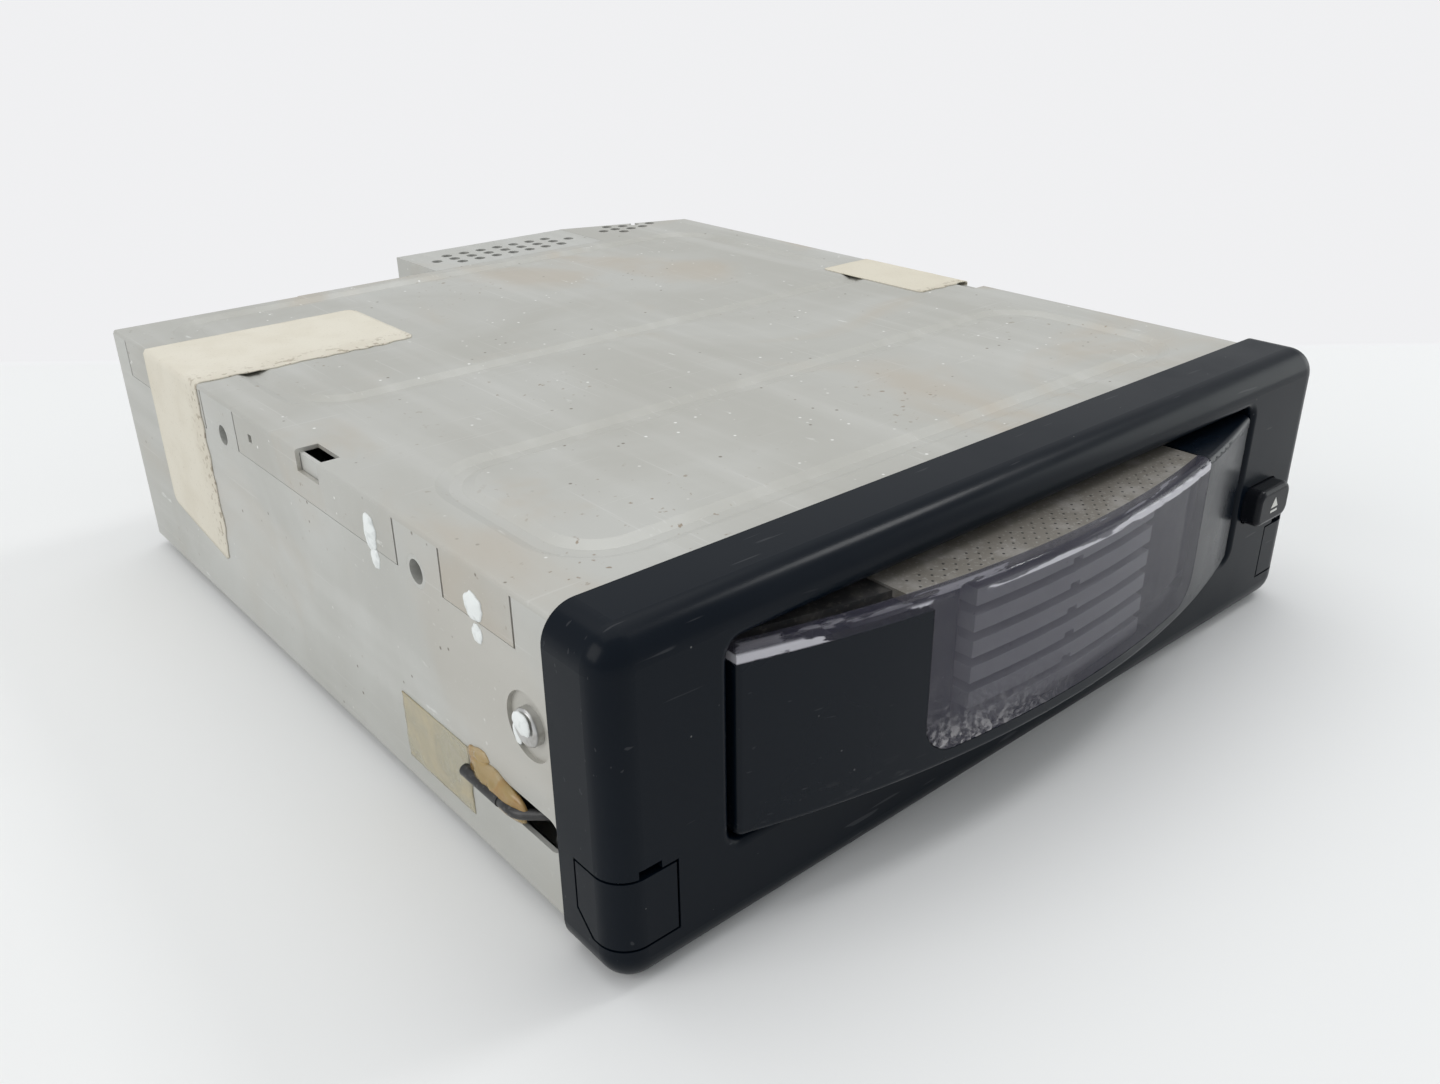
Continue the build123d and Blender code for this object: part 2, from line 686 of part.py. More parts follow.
with BuildPart() as eject_spring:
    # bent leaf between the button's back and the front frame
    leaf = [
        (deep(button_body) + 0.05, button_level + 1.6),
        (frame_y[0] - 0.3, button_level + 3.2),
        (frame_y[0] - 0.05, button_level + 3.2),
        (frame_y[0] - 0.05, button_level + 3.5),
        (frame_y[0] - 0.4, button_level + 3.5),
        (deep(button_body) + 0.05, button_level + 1.9),
    ]
    prism_x(leaf, (button_x - 3.0, button_x + 3.0))
save(eject_spring, "eject_spring")

lamp_x = -face_width / 2 + 11.0
lamp_z = lead_level + 7.0
with BuildPart() as face_lamp:
    block((lamp_x - 3.0, lamp_x + 3.0), (deep(face_wall), deep(face_wall + 3.0)),
          (lamp_z - 3.0, lamp_z + 3.0))
    bar_y(lamp_x, (deep(face_wall + 3.0), deep(face_wall + 6.0)), lamp_z, 2.4)
save(face_lamp, "face_lamp")

# lead from the lamp, over the fixing screw, through the side cut-out and back along the outside of the wall
lead_wall_x = -wall_x - sleeve_radius
lead_points = [
    (lamp_x, deep(face_wall + 6.0), lamp_z),
    (lamp_x, deep(face_wall + 8.6), lamp_z),
    (-wall_inner + 3.5, y_chassis + 2.8, lead_level + 2.7),
    (-wall_inner + 2.3, y_chassis + 7.8, lead_level + 0.5),
    (lead_wall_x, y_chassis + 13.3, lead_level - 0.3),
    (lead_wall_x, y_chassis + 28.2, lead_level - 0.3),
]
with BuildPart() as lamp_lead:
    with BuildLine() as lead_path:
        FilletPolyline(*lead_points, radius=lead_bends)
    lead_wire = lead_path.wires()[0]
    with BuildSketch(Plane(origin=lead_wire @ 0, z_dir=lead_wire % 0)) as lead_section:
        Circle(lead_radius)
    sweep(lead_section.sketch, path=lead_wire)
save(lamp_lead, "lamp_lead")
lead_by_volume = lamp_lead.part.volume / (pi * lead_radius**2)
print(f"lamp lead length {lead_wire.length:.1f}, volume over section {lead_by_volume:.1f}")

sleeve_y = (y_chassis + 17.5, y_chassis + 28.2)
with BuildPart() as lead_sleeve:
    bar_y(lead_wall_x, sleeve_y, lead_level - 0.3, sleeve_radius)
    bar_y(lead_wall_x, (sleeve_y[0] - 1, sleeve_y[1] + 1), lead_level - 0.3, lead_radius + press_gap,
          Mode.SUBTRACT)
save(lead_sleeve, "lead_sleeve")

# ---------------------------------------------------------------- papers and tape on the case
def wrapped_paper(side, inward, y, down, name):
    """A thin sheet stuck on the lid and folded down over one side."""
    with BuildPart() as paper_sheet:
        block(both(side, wall_x - inward, wall_x + paper), y, (lid_top, lid_top + paper))
        block(both(side, wall_x, wall_x + paper), y, (lid_top - down, lid_top + paper))
        outer = paper_sheet.edges().filter_by(Axis.Y).group_by(Axis.Z)[-1].sort_by(Axis.X)
        fillet(outer[-1] if side > 0 else outer[0], radius=paper * 0.8)
    save(paper_sheet, name)


wrapped_paper(-1, left_label_width, (deep(left_label[0]), deep(left_label[1])), left_label_drop,
              "paper_label_left")
wrapped_paper(1, right_label_width, (deep(right_label[0]), deep(right_label[1])), right_label_drop,
              "paper_label_right")

with BuildPart() as clear_tape:
    block((-wall_x - tape, -wall_x), (sleeve_y[1] + 0.1, sleeve_y[1] + 22.3),
          (lead_level - 9.6, lead_level + 3.4))
save(clear_tape, "clear_tape")

# ---------------------------------------------------------------- magazine
mag_left = mag_x - case_half_width
mag_right = mag_x + case_half_width
front_left = mag_x - front_half_width
front_right = mag_x + front_half_width
inner_wall = case_half_width - case_side
lens_x = (mag_x - window_left, mag_x + window_right)
strip_z = front_z[1] - top_strip
tab_x = (mag_x - tray_tab_width / 2, mag_x + tray_tab_width / 2)
case_parting = case_z[1] - case_plate
side_groove_z = case_parting - 6.0
latch_groove_z = (button_level - groove_height / 2, button_level + groove_height / 2)


def tray_level(index):
    """Height of a tray's underside."""
    return first_tray_z + index * tray_pitch


with BuildPart() as magazine_base:
    bulge_plate(case_setback, (mag_left, mag_right), deep(case_rear), (case_z[0], case_parting))
    bulge_plate(case_setback + 1.2, (mag_x - inner_wall, mag_x + inner_wall), deep(case_rear) + 1,
                (case_z[0] + case_plate, case_parting + 1), Mode.SUBTRACT)
    # mouth in the front wall for the trays' tabs
    block((tab_x[0] - 0.6, tab_x[1] + 0.6), (deep(-front_bulge), deep(2)),
          (case_z[0] + case_plate, case_parting + 1),
          Mode.SUBTRACT)
    for side in (-1, 1):
        wall = both(side, case_half_width - groove_depth, case_half_width + 1)
        wall = (mag_x + wall[0], mag_x + wall[1])
        groove = (deep(block_back + 4), deep(case_rear) + 1)
        block(wall, groove, (side_groove_z - groove_height / 2, side_groove_z + groove_height / 2),
              Mode.SUBTRACT)
        # ledges that carry the trays' lips
        for index in range(tray_count):
            ledge_top = tray_level(index) + tray_height - lip_thickness - 0.15
            ledge = both(side, tray_half_width + 0.25, inner_wall)
            block((mag_x + ledge[0], mag_x + ledge[1]), (deep(disc_rest) - 30, deep(case_rear) - 3),
                  (ledge_top - 0.7, ledge_top))
    latch_x = (mag_x + case_half_width - groove_depth, mag_x + case_half_width + 1)
    block(latch_x, (deep(latch_shoulder), deep(case_rear) + 1), latch_groove_z, Mode.SUBTRACT)
save(magazine_base, "magazine_base")

with BuildPart() as magazine_cover:
    bulge_plate(case_setback, (mag_left, mag_right), deep(case_rear), (case_parting, case_z[1]))
    # shallow pressed field that stiffens the cover
    plan_panel((mag_x - inner_wall + 6, mag_x + inner_wall - 6), (deep(24), deep(case_rear) - 8),
               (case_z[1] - 0.3, case_z[1] + 1), 8.0, Mode.SUBTRACT)
save(magazine_cover, "magazine_cover")

with BuildPart() as magazine_front:
    bulge_plate(0, (front_left, front_right), deep(block_back), front_z)
    fillet(magazine_front.edges().filter_by(GeomType.CIRCLE).group_by(Axis.Z)[0], radius=front_round)
    fillet(magazine_front.edges().filter_by(Axis.Z).group_by(Axis.Y)[0], radius=front_round)
    # hollow behind the skin
    bulge_plate(front_skin, (front_left + front_skin, front_right - front_skin), deep(block_back) + 1,
                (front_z[0] + front_floor, front_z[1] + 1), Mode.SUBTRACT)
    # two ribs across the recess at the left
    for rib_x in recess_ribs:
        bulge_plate(front_skin / 2, (mag_x - rib_x - rib_width, mag_x - rib_x), deep(block_back),
                    (strip_z - rib_width, strip_z))
    # room for the case's front, and for the clear and glossy top strips
    bulge_plate(case_setback, (front_left - 1, front_right + 1), deep(case_rear),
                (front_z[0] - 1, front_z[1] + 1),
                Mode.SUBTRACT)
    block((front_left - 1, front_right + 1), (deep(-front_bulge) - 1, deep(block_back) + 1),
          (strip_z, front_z[1] + 1), Mode.SUBTRACT)
    # the window's place
    face_panel((lens_x[0] - seam, lens_x[1] + seam),
               (front_z[0] + window_sill - seam, front_z[1] + window_corner * 2),
               (deep(-front_bulge) - 1, deep(0)), window_corner + seam, Mode.SUBTRACT)
save(magazine_front, "magazine_front")

with BuildPart() as magazine_window:
    bulge_plate(0, lens_x, deep(0), (front_z[0] + window_sill, strip_z))
    bulge_plate(window_thickness, (front_left - 1, front_right + 1), deep(block_back), (0, strip_z),
                Mode.SUBTRACT)
    face_panel(lens_x, (front_z[0] + window_sill, front_z[1] + window_corner * 2),
               (deep(-front_bulge) - 1, deep(block_back)), window_corner, Mode.INTERSECT)
    # clear strip along the top edge, from the left end to the glossy end piece
    bulge_plate(0, (front_left, lens_x[1]), deep(strip_back), (strip_z, front_z[1]))
    bulge_plate(top_strip_depth, (front_left - 1, front_right + 1), deep(block_back) + 1,
                (strip_z, front_z[1] + 1), Mode.SUBTRACT)
    top_arcs = magazine_window.edges().filter_by(GeomType.CIRCLE).group_by(Axis.Z)[-1]
    fillet(top_arcs.sort_by(lambda edge: edge.radius)[-1], radius=strip_round)
save(magazine_window, "magazine_window")

with BuildPart() as end_grip:
    bulge_plate(0, (lens_x[1] + seam, front_right), deep(block_back), (strip_z, front_z[1]))
    bulge_plate(case_setback, (front_left - 1, front_right + 1), deep(case_rear), (0, case_z[1]),
                Mode.SUBTRACT)
    fillet(end_grip.edges().filter_by(GeomType.CIRCLE).group_by(Axis.Z)[-1], radius=strip_round)
save(end_grip, "end_grip")

grip_x = (lens_x[0] - grip_beyond, lens_x[1])
with BuildPart() as grip_strip:
    bulge_plate(top_strip_depth + fit_gap, grip_x, deep(grip_back),
                (strip_z + grip_drop, front_z[1] - seam))
    bulge_plate(case_setback, (front_left - 1, front_right + 1), deep(case_rear), (0, case_z[1]),
                Mode.SUBTRACT)
save(grip_strip, "grip_strip")

for index in range(tray_count):
    low = tray_level(index)
    high = low + tray_height
    with BuildPart() as tray:
        with BuildSketch(Plane.XY.offset(low)) as outline:
            with Locations((mag_x, disc_rest_y)):
                Circle(disc_diameter / 2 + tray_side_margin + tray_corner_margin)
            with Locations((mag_x, deep((tray_front + tray_rear) / 2))):
                Rectangle(2 * tray_half_width, tray_rear - tray_front, mode=Mode.INTERSECT)
            with Locations((mag_x, (deep(tray_shoulder) + disc_rest_y) / 2)):
                Rectangle(2 * tray_half_width, disc_rest_y - deep(tray_shoulder))
        extrude(outline.sketch, amount=tray_height)
        # running lips along the straight sides
        block((mag_x - tray_half_width - tray_lip, mag_x + tray_half_width + tray_lip),
              (deep(tray_shoulder + 2), disc_rest_y + 14), (high - lip_thickness, high))
        # front tab with its finger notch
        bulge_plate(tab_setback, tab_x, deep(tray_front + 4.0), (low, high))
        block((mag_x - tray_notch / 2, mag_x + tray_notch / 2), (deep(-front_bulge), deep(tray_front - 2)),
              (low - 1, low + tray_floor), Mode.SUBTRACT)
        # dish for the disc, open at the back
        bar_z(mag_x, disc_rest_y, (low + tray_floor, high + 1), disc_diameter / 2 + 0.6, Mode.SUBTRACT)
        # slot for the playing deck, open at the back
        block((mag_x - tray_slot_width / 2, mag_x + tray_slot_width / 2),
              (disc_rest_y - turntable_radius - tray_slot_ahead, disc_rest_y + tray_rear),
              (low - 1, high + 1),
              Mode.SUBTRACT)
    save(tray, f"tray_{index + 1}")

# ---------------------------------------------------------------- mechanism base
base_x = (mag_x - base_left, mag_x + base_right)
base_y = (deep(18.0), y_case_back - 3.0)
damper_x = (base_x[0] + damper_inset, base_x[1] - 2 * damper_inset)
damper_y = (base_y[0] + 2 * damper_inset, base_y[1] - 6 * damper_inset)
damper_points = [(x, y) for x in damper_x for y in damper_y]
guide_y = (deep(18.0), deep(case_rear) - 4)
board_x = (mag_x - 62.0, mag_x + 62.0)
board_y = (guide_y[0] + 6, guide_y[1] - 8)
board_z = (plate_top + 2.0, plate_top + 2.0 + board_thickness)
ribbon_x = (mag_x + 12.0, mag_x + 28.0)
ribbon_slot = (board_y[1] + 2, board_y[1] + 9)
post_y = spindle_y + post_reach
screw_at = (mag_x + screw_side, spindle_y + screw_reach)
gear_distance = gear_module * (gear_teeth + pinion_teeth) / 2
motor_at = (screw_at[0] + gear_distance, screw_at[1])
gear_z = (plate_top + 0.6, plate_top + 0.6 + gear_thickness)
latch_pin = (button_x + lever_reach, lever_front + 1.5)
with BuildPart() as base_plate:
    block(base_x, base_y, (plate_z, plate_top))
    block((ribbon_x[0] - 1, ribbon_x[1] + 1), ribbon_slot, (plate_z - 1, plate_top + 1), Mode.SUBTRACT)
    for point in damper_points:
        bar_z(*point, (plate_z - 1, plate_top + 1), screw_shank + press_gap, Mode.SUBTRACT)
    # pressed studs under the control board
    for stud_x in (board_x[0] + 5, board_x[1] - 5):
        for stud_y in (board_y[0] + 5, board_y[1] - 5):
            bar_z(stud_x, stud_y, (plate_top, board_z[0]), 2.5)
    # turned-up rear flange, short of the lift gears
    block((base_x[0], mag_x + post_side - 8), (base_y[1] - plate_sheet, base_y[1]),
          (plate_z, plate_top + 1.2))
save(base_plate, "base_plate")

with BuildPart() as rubber_dampers:
    for point in damper_points:
        bar_z(*point, (pan_floor, plate_z), damper_radius)
save(rubber_dampers, "rubber_dampers")


def guide_block(side, low, high, y, z, mode=Mode.ADD):
    """A block of one guide between two distances from the magazine's centre line."""
    pair = both(side, low, high)
    block((mag_x + pair[0], mag_x + pair[1]), y, z, mode)


for side, name in ((-1, "left_guide"), (1, "right_guide")):
    near = case_half_width + guide_gap
    with BuildPart() as guide:
        guide_block(side, near, near + guide_wall, guide_y,
                    (plate_top, case_z[1] + guide_gap + guide_ledge))
        guide_block(side, near - guide_lip, near + guide_wall, guide_y,
                    (case_z[0] - guide_gap - guide_ledge, case_z[0] - guide_gap))
        guide_block(side, near - guide_lip, near + guide_wall, guide_y,
                    (case_z[1] + guide_gap, case_z[1] + guide_gap + guide_ledge))
        guide_block(side, near - groove_depth, near + guide_wall, guide_y,
                    (side_groove_z - groove_height / 2 + guide_gap,
                     side_groove_z + groove_height / 2 - guide_gap))
        guide_block(side, near, near + guide_wall + 5, (guide_y[0] + 16, guide_y[0] + 24),
                    (plate_top, plate_top + 2))
        guide_block(side, near, near + guide_wall + 5, (guide_y[1] - 24, guide_y[1] - 16),
                    (plate_top, plate_top + 2))
        if side > 0:
            # window for the latch hook
            guide_block(side, near - 1, near + guide_wall + 1, (guide_y[0] - 1, latch_hook_y[1] + 9),
                        (button_level - 4, button_level + 4), Mode.SUBTRACT)
    save(guide, name)

with BuildPart() as base_screws:
    for point in damper_points:
        bar_z(*point, (plate_top, plate_top + 1.6), 3.0)
        bar_z(*point, (plate_z, plate_top), screw_shank)
    for side in (-1, 1):
        for foot_y in (guide_y[0] + 20, guide_y[1] - 20):
            foot_x = mag_x + side * (case_half_width + guide_gap + guide_wall + 2.6)
            bar_z(foot_x, foot_y, (plate_top + 2, plate_top + 3.4), 2.0)
save(base_screws, "base_screws")

lever_z = (button_level - lever_thickness / 2, button_level + lever_thickness / 2)
hook_x = mag_x + case_half_width - groove_depth + 0.4
with BuildPart() as magazine_latch:
    bar_z(*latch_pin, lever_z, latch_pin_radius + 2.0)
    # short arm in front of the button's stem
    block((button_x - 1.5, latch_pin[0]), (lever_front, lever_front + 3.0), lever_z)
    # long arm back to the hook beside the magazine's groove
    arm = [
        (latch_pin[0] - 2.2, latch_pin[1]),
        (latch_pin[0] + 2.2, latch_pin[1] + 1.5),
        (hook_x + 4.2, latch_hook_y[1]),
        (hook_x, latch_hook_y[1]),
        (hook_x, latch_hook_y[0]),
        (hook_x + 1.6, latch_hook_y[0] - 2.0),
    ]
    prism_z(arm, lever_z)
    bar_z(*latch_pin, (lever_z[0] - 1, lever_z[1] + 1), latch_pin_radius + pin_gap, Mode.SUBTRACT)
save(magazine_latch, "magazine_latch")

# ---------------------------------------------------------------- lift
wing_z = (plate_top + 5.0, plate_top + 5.0 + wing_height)
post_top = lid_under - 2.4
with BuildPart() as base_posts:
    bar_z(*latch_pin, (plate_top, button_level + lever_thickness / 2 + 1.5), latch_pin_radius)
    bar_z(*latch_pin, (plate_top, button_level - lever_thickness / 2 - 0.3), latch_pin_radius + 1.2)
    for side in (-1, 1):
        bar_z(mag_x + side * post_side, post_y, (plate_top, post_top), post_radius)
        bar_z(mag_x + side * post_side, post_y, (plate_top, plate_top + 0.5), post_radius + 2.0)
save(base_posts, "base_posts")

with BuildPart() as lift_screw:
    bar_z(*screw_at, (plate_top + 0.2, post_top), screw_radius)
    toothed_wheel(*screw_at, gear_z, gear_teeth, 0.0)
save(lift_screw, "lift_screw")

with BuildPart() as lift_pinion:
    toothed_wheel(*motor_at, gear_z, pinion_teeth, 180.0 / pinion_teeth)
    bar_z(*motor_at, (plate_top + 0.2, gear_z[1] + 0.4), 2.4)
save(lift_pinion, "lift_pinion")

bracket_z = (gear_z[1] + 0.7, gear_z[1] + 0.7 + plate_sheet)
bracket_x = motor_at[0] + lift_motor_radius + 1.2
with BuildPart() as motor_bracket:
    block((motor_at[0] - 4.0, bracket_x + plate_sheet), (motor_at[1] - 6, motor_at[1] + 4), bracket_z)
    block((bracket_x, bracket_x + plate_sheet), (motor_at[1] - 6, motor_at[1] + 4),
          (plate_top, bracket_z[1]))
    bar_z(*motor_at, (bracket_z[0] - 1, bracket_z[1] + 1), 1.6, Mode.SUBTRACT)
save(motor_bracket, "motor_bracket")

with BuildPart() as lift_motor:
    bar_z(*motor_at, (bracket_z[1], bracket_z[1] + lift_motor_length), lift_motor_radius)
    fillet(lift_motor.edges().sort_by(Axis.Z)[-1], radius=1.2)
    bar_z(*motor_at, (bracket_z[1] + lift_motor_length, bracket_z[1] + lift_motor_length + 1.5), 2.5)
    for terminal in (-3.0, 3.0):
        block((motor_at[0] + terminal - 0.8, motor_at[0] + terminal + 0.8),
              (motor_at[1] - 0.3, motor_at[1] + 0.3),
              (bracket_z[1] + lift_motor_length, bracket_z[1] + lift_motor_length + 2.6))
save(lift_motor, "lift_motor")

# ---------------------------------------------------------------- playing deck
turntable_z = (play_z - turntable_thickness, play_z)
motor_z = (turntable_z[0] - motor_gap - 7.2, turntable_z[0] - motor_gap)
deck_z = (motor_z[0] - deck_sheet, motor_z[0])
riser_y = (deep(deck_rear) - deck_sheet, deep(deck_rear))
deck_x = (mag_x - deck_half_width, mag_x + deck_half_width)
arm_z = (play_z + disc_thickness + puck_height, play_z + disc_thickness + puck_height + arm_thickness)
pivot = (riser_y[0] - 3.0, arm_z[0] + arm_thickness / 2)
rod_z = deck_z[1] + 3.6
rod_y = (deep(deck_front) + 0.3, riser_y[0])
ear_in = arm_half_width + 0.5
with BuildPart() as deck_frame:
    block(deck_x, (deep(deck_front), riser_y[1]), deck_z)
    block(deck_x, riser_y, (deck_z[0], pivot[1] + 3.0))
    # crossbar and the shelves round the posts and the lift screw
    block((mag_x - post_side - shelf_radius, mag_x + screw_side + shelf_radius), riser_y, wing_z)
    for shelf in ((mag_x - post_side, post_y), (mag_x + post_side, post_y), screw_at):
        bar_z(*shelf, (wing_z[0], wing_z[0] + deck_sheet), shelf_radius)
        block((shelf[0] - shelf_radius, shelf[0] + shelf_radius), (shelf[1], riser_y[1]),
              (wing_z[0], wing_z[0] + deck_sheet))
    # ears that hold the clamp arm's pin
    for side in (-1, 1):
        ear = both(side, ear_in, ear_in + deck_sheet)
        block((mag_x + ear[0], mag_x + ear[1]), (riser_y[0] - 6.0, riser_y[1]),
              (pivot[1] - 2.2, pivot[1] + 3.0))
        bar_x((mag_x + ear[0] - 0.5, mag_x + ear[1] + 0.5), *pivot, 1.0 + press_gap, Mode.SUBTRACT)
    # end blocks of the guide rod and the lead screw
    for side in (-1, 1):
        rod_x = mag_x + side * rod_side
        block((rod_x - 2.6, rod_x + 2.6), (rod_y[0], rod_y[0] + 2.0), (deck_z[1], rod_z + 2.4))
    bar_y(mag_x - rod_side, (rod_y[0] - 1, rod_y[0] + 3), rod_z, rod_radius + press_gap, Mode.SUBTRACT)
    bar_y(mag_x + rod_side, (rod_y[0] - 1, rod_y[0] + 3), rod_z, rod_radius + pin_gap, Mode.SUBTRACT)
    # window under the pickup
    block((mag_x - 10.5, mag_x + 10.5), (spindle_y + lens_inner - 9, riser_y[0] - 2),
          (deck_z[0] - 1, deck_z[1] + 0.01),
          Mode.SUBTRACT)
    # holes for the bushes and the lift nut
    for at in ((mag_x - post_side, post_y), (mag_x + post_side, post_y), screw_at):
        bar_z(*at, (wing_z[0] - 1, wing_z[0] + deck_sheet + 1), bush_radius - 0.8 + press_gap,
              Mode.SUBTRACT)
save(deck_frame, "deck_frame")

with BuildPart() as deck_bushes:
    for at, bore in (((mag_x - post_side, post_y), post_radius), ((mag_x + post_side, post_y), post_radius),
                     (screw_at, screw_radius)):
        bar_z(*at, (wing_z[0], wing_z[0] + bush_length), bush_radius - 0.8)
        bar_z(*at, (wing_z[0] + deck_sheet, wing_z[0] + deck_sheet + 2.0), bush_radius)
        bar_z(*at, (wing_z[0] - 1, wing_z[0] + bush_length + 1), bore + pin_gap, Mode.SUBTRACT)
save(deck_bushes, "deck_bushes")

with BuildPart() as spindle_motor:
    bar_z(mag_x, spindle_y, motor_z, motor_radius)
    fillet(spindle_motor.edges().sort_by(Axis.Z)[-1], radius=1.0)
    bar_z(mag_x, spindle_y, (motor_z[1] - 4.0, motor_z[1] + 1), 1.0 + pin_gap, Mode.SUBTRACT)
save(spindle_motor, "spindle_motor")

with BuildPart() as turntable:
    bar_z(mag_x, spindle_y, turntable_z, turntable_radius)
    with Locations((mag_x, spindle_y, play_z + hub_height / 2)):
        Cone(hub_radius, hub_radius - 1.6, hub_height)
    fillet(turntable.edges().group_by(Axis.Z)[0], radius=0.4)
    bar_z(mag_x, spindle_y, (motor_z[1] - 3.6, turntable_z[0]), 1.0)
save(turntable, "turntable")

with BuildPart() as guide_rod:
    bar_y(mag_x - rod_side, (rod_y[0], riser_y[0]), rod_z, rod_radius)
save(guide_rod, "guide_rod")

sled_motor_radius = rod_z - deck_z[1]
sled_motor_y = (rod_y[0] + 2.2, rod_y[0] + 2.2 + 13.0)
with BuildPart() as lead_screw:
    bar_y(mag_x + rod_side, (rod_y[0] + 0.2, riser_y[0] - 0.2), rod_z, rod_radius)
save(lead_screw, "lead_screw")

with BuildPart() as sled_motor:
    bar_y(mag_x + rod_side, sled_motor_y, rod_z, sled_motor_radius)
    bar_y(mag_x + rod_side, (sled_motor_y[0] - 1, sled_motor_y[1] + 1), rod_z, rod_radius + pin_gap,
          Mode.SUBTRACT)
save(sled_motor, "sled_motor")

lens_y = spindle_y + lens_inner
sled_y = (lens_y - 12.0, lens_y + lens_radius + 1.0)
sled_z = (deck_z[1] + 1.2, turntable_z[0] - 0.6)
lens_z = (sled_z[1] - 3.0, play_z - 1.0)
with BuildPart() as pickup_sled:
    block((mag_x - 11.0, mag_x + 11.0), sled_y, sled_z)
    fillet(pickup_sled.edges().filter_by(Axis.Z), radius=1.0)
    block((mag_x - rod_side - 2.6, mag_x), (sled_y[0] + 1, sled_y[0] + 9), (rod_z - 2.2, rod_z + 2.2))
    block((mag_x, mag_x + rod_side + 2.6), (sled_y[0] + 3, sled_y[0] + 6), (rod_z - 2.2, rod_z + 2.2))
    block((mag_x - 6.0, mag_x + 6.0), (lens_y - 5.5, sled_y[1]), (sled_z[1], sled_z[1] + 0.6))
    bar_y(mag_x - rod_side, (sled_y[0] - 1, sled_y[1]), rod_z, rod_radius + pin_gap, Mode.SUBTRACT)
    bar_y(mag_x + rod_side, (sled_y[0] - 1, sled_y[1]), rod_z, rod_radius + pin_gap, Mode.SUBTRACT)
    bar_z(mag_x, lens_y, (sled_z[1] - 3.0, sled_z[1] + 2), lens_radius + 0.5, Mode.SUBTRACT)
save(pickup_sled, "pickup_sled")

with BuildPart() as focus_lens:
    bar_z(mag_x, lens_y, lens_z, lens_radius)
    fillet(focus_lens.edges().sort_by(Axis.Z)[-1], radius=0.5)
save(focus_lens, "focus_lens")

with BuildPart() as clamp_arm:
    block((mag_x - arm_half_width, mag_x + arm_half_width), (spindle_y - puck_radius, pivot[0] + 1.0),
          arm_z)
    fillet(clamp_arm.edges().filter_by(Axis.Z).group_by(Axis.Y)[0], radius=4.0)
    bar_x((mag_x - arm_half_width, mag_x + arm_half_width), *pivot, 2.0)
    bar_x((mag_x - arm_half_width - 1, mag_x + arm_half_width + 1), *pivot, 1.0 + pin_gap, Mode.SUBTRACT)
    bar_z(mag_x, spindle_y, (arm_z[0] - 1, arm_z[1] + 1), 2.0 + pin_gap, Mode.SUBTRACT)
save(clamp_arm, "clamp_arm")

with BuildPart() as clamp_pin:
    bar_x((mag_x - ear_in - deck_sheet, mag_x + ear_in + deck_sheet), *pivot, 1.0)
save(clamp_pin, "clamp_pin")

with BuildPart() as clamp_puck:
    bar_z(mag_x, spindle_y, (play_z + disc_thickness + fit_gap, arm_z[0] - 0.15), puck_radius)
    bar_z(mag_x, spindle_y, (play_z, play_z + hub_height + 0.3), hub_radius + 0.6, Mode.SUBTRACT)
    bar_z(mag_x, spindle_y, (arm_z[0] - 0.2, arm_z[1] + 0.2), 2.0)
    bar_z(mag_x, spindle_y, (arm_z[1] + 0.15, arm_z[1] + 0.9), 3.2)
save(clamp_puck, "clamp_puck")

# ---------------------------------------------------------------- electronics
with BuildPart() as control_board:
    block(board_x, board_y, board_z)
save(control_board, "control_board")

chips = [
    (-46.0, 60.0, 14.0, 14.0, 1.6),
    (-18.0, 64.0, 20.0, 8.0, 2.2),
    (10.0, 58.0, 12.0, 12.0, 1.6),
    (36.0, 66.0, 9.0, 16.0, 2.6),
    (-40.0, 28.0, 10.0, 6.0, 2.2),
    (-8.0, 30.0, 16.0, 10.0, 1.8),
    (30.0, 26.0, 8.0, 8.0, 2.8),
]
with BuildPart() as board_parts:
    for chip_x, chip_y, width, depth, height in chips:
        block((mag_x + chip_x - width / 2, mag_x + chip_x + width / 2),
              (board_y[0] + chip_y - depth / 2, board_y[0] + chip_y + depth / 2),
              (board_z[1], board_z[1] + height))
    for can in range(4):
        bar_z(mag_x - 52 + can * 9.0, board_y[0] + 12.0, (board_z[1], board_z[1] + 4.0), 3.2)
    block(ribbon_x, (board_y[1] - 5.0, board_y[1] - 0.5), (board_z[1], board_z[1] + 3.2))
save(board_parts, "board_parts")

rear_board_y = (y_back - sheet - socket_depth - board_thickness, y_back - sheet - socket_depth)
with BuildPart() as rear_board:
    block((rear_cover_x[0] + sheet + 1.5, rear_cover_x[1] - 3), rear_board_y, (pan_floor, lid_under - 6))
save(rear_board, "rear_board")

with BuildPart() as rear_socket:
    block(socket_x, (rear_board_y[1], y_back), socket_z)
    block((socket_x[0] + socket_wall, socket_x[1] - socket_wall), (rear_board_y[1] + 2, y_back + 1),
          (socket_z[0] + socket_wall, socket_z[1] - socket_wall), Mode.SUBTRACT)
save(rear_socket, "rear_socket")

with BuildPart() as socket_pins:
    for column in range(pin_columns):
        for row in (-1, 1):
            pin_x = socket_centre + (column - (pin_columns - 1) / 2) * 3.0
            pin_z = (socket_z[0] + socket_z[1]) / 2 + row * 2.6
            bar_y(pin_x, (rear_board_y[1] + 2, rear_board_y[1] + 5), pin_z, 0.5)
save(socket_pins, "socket_pins")

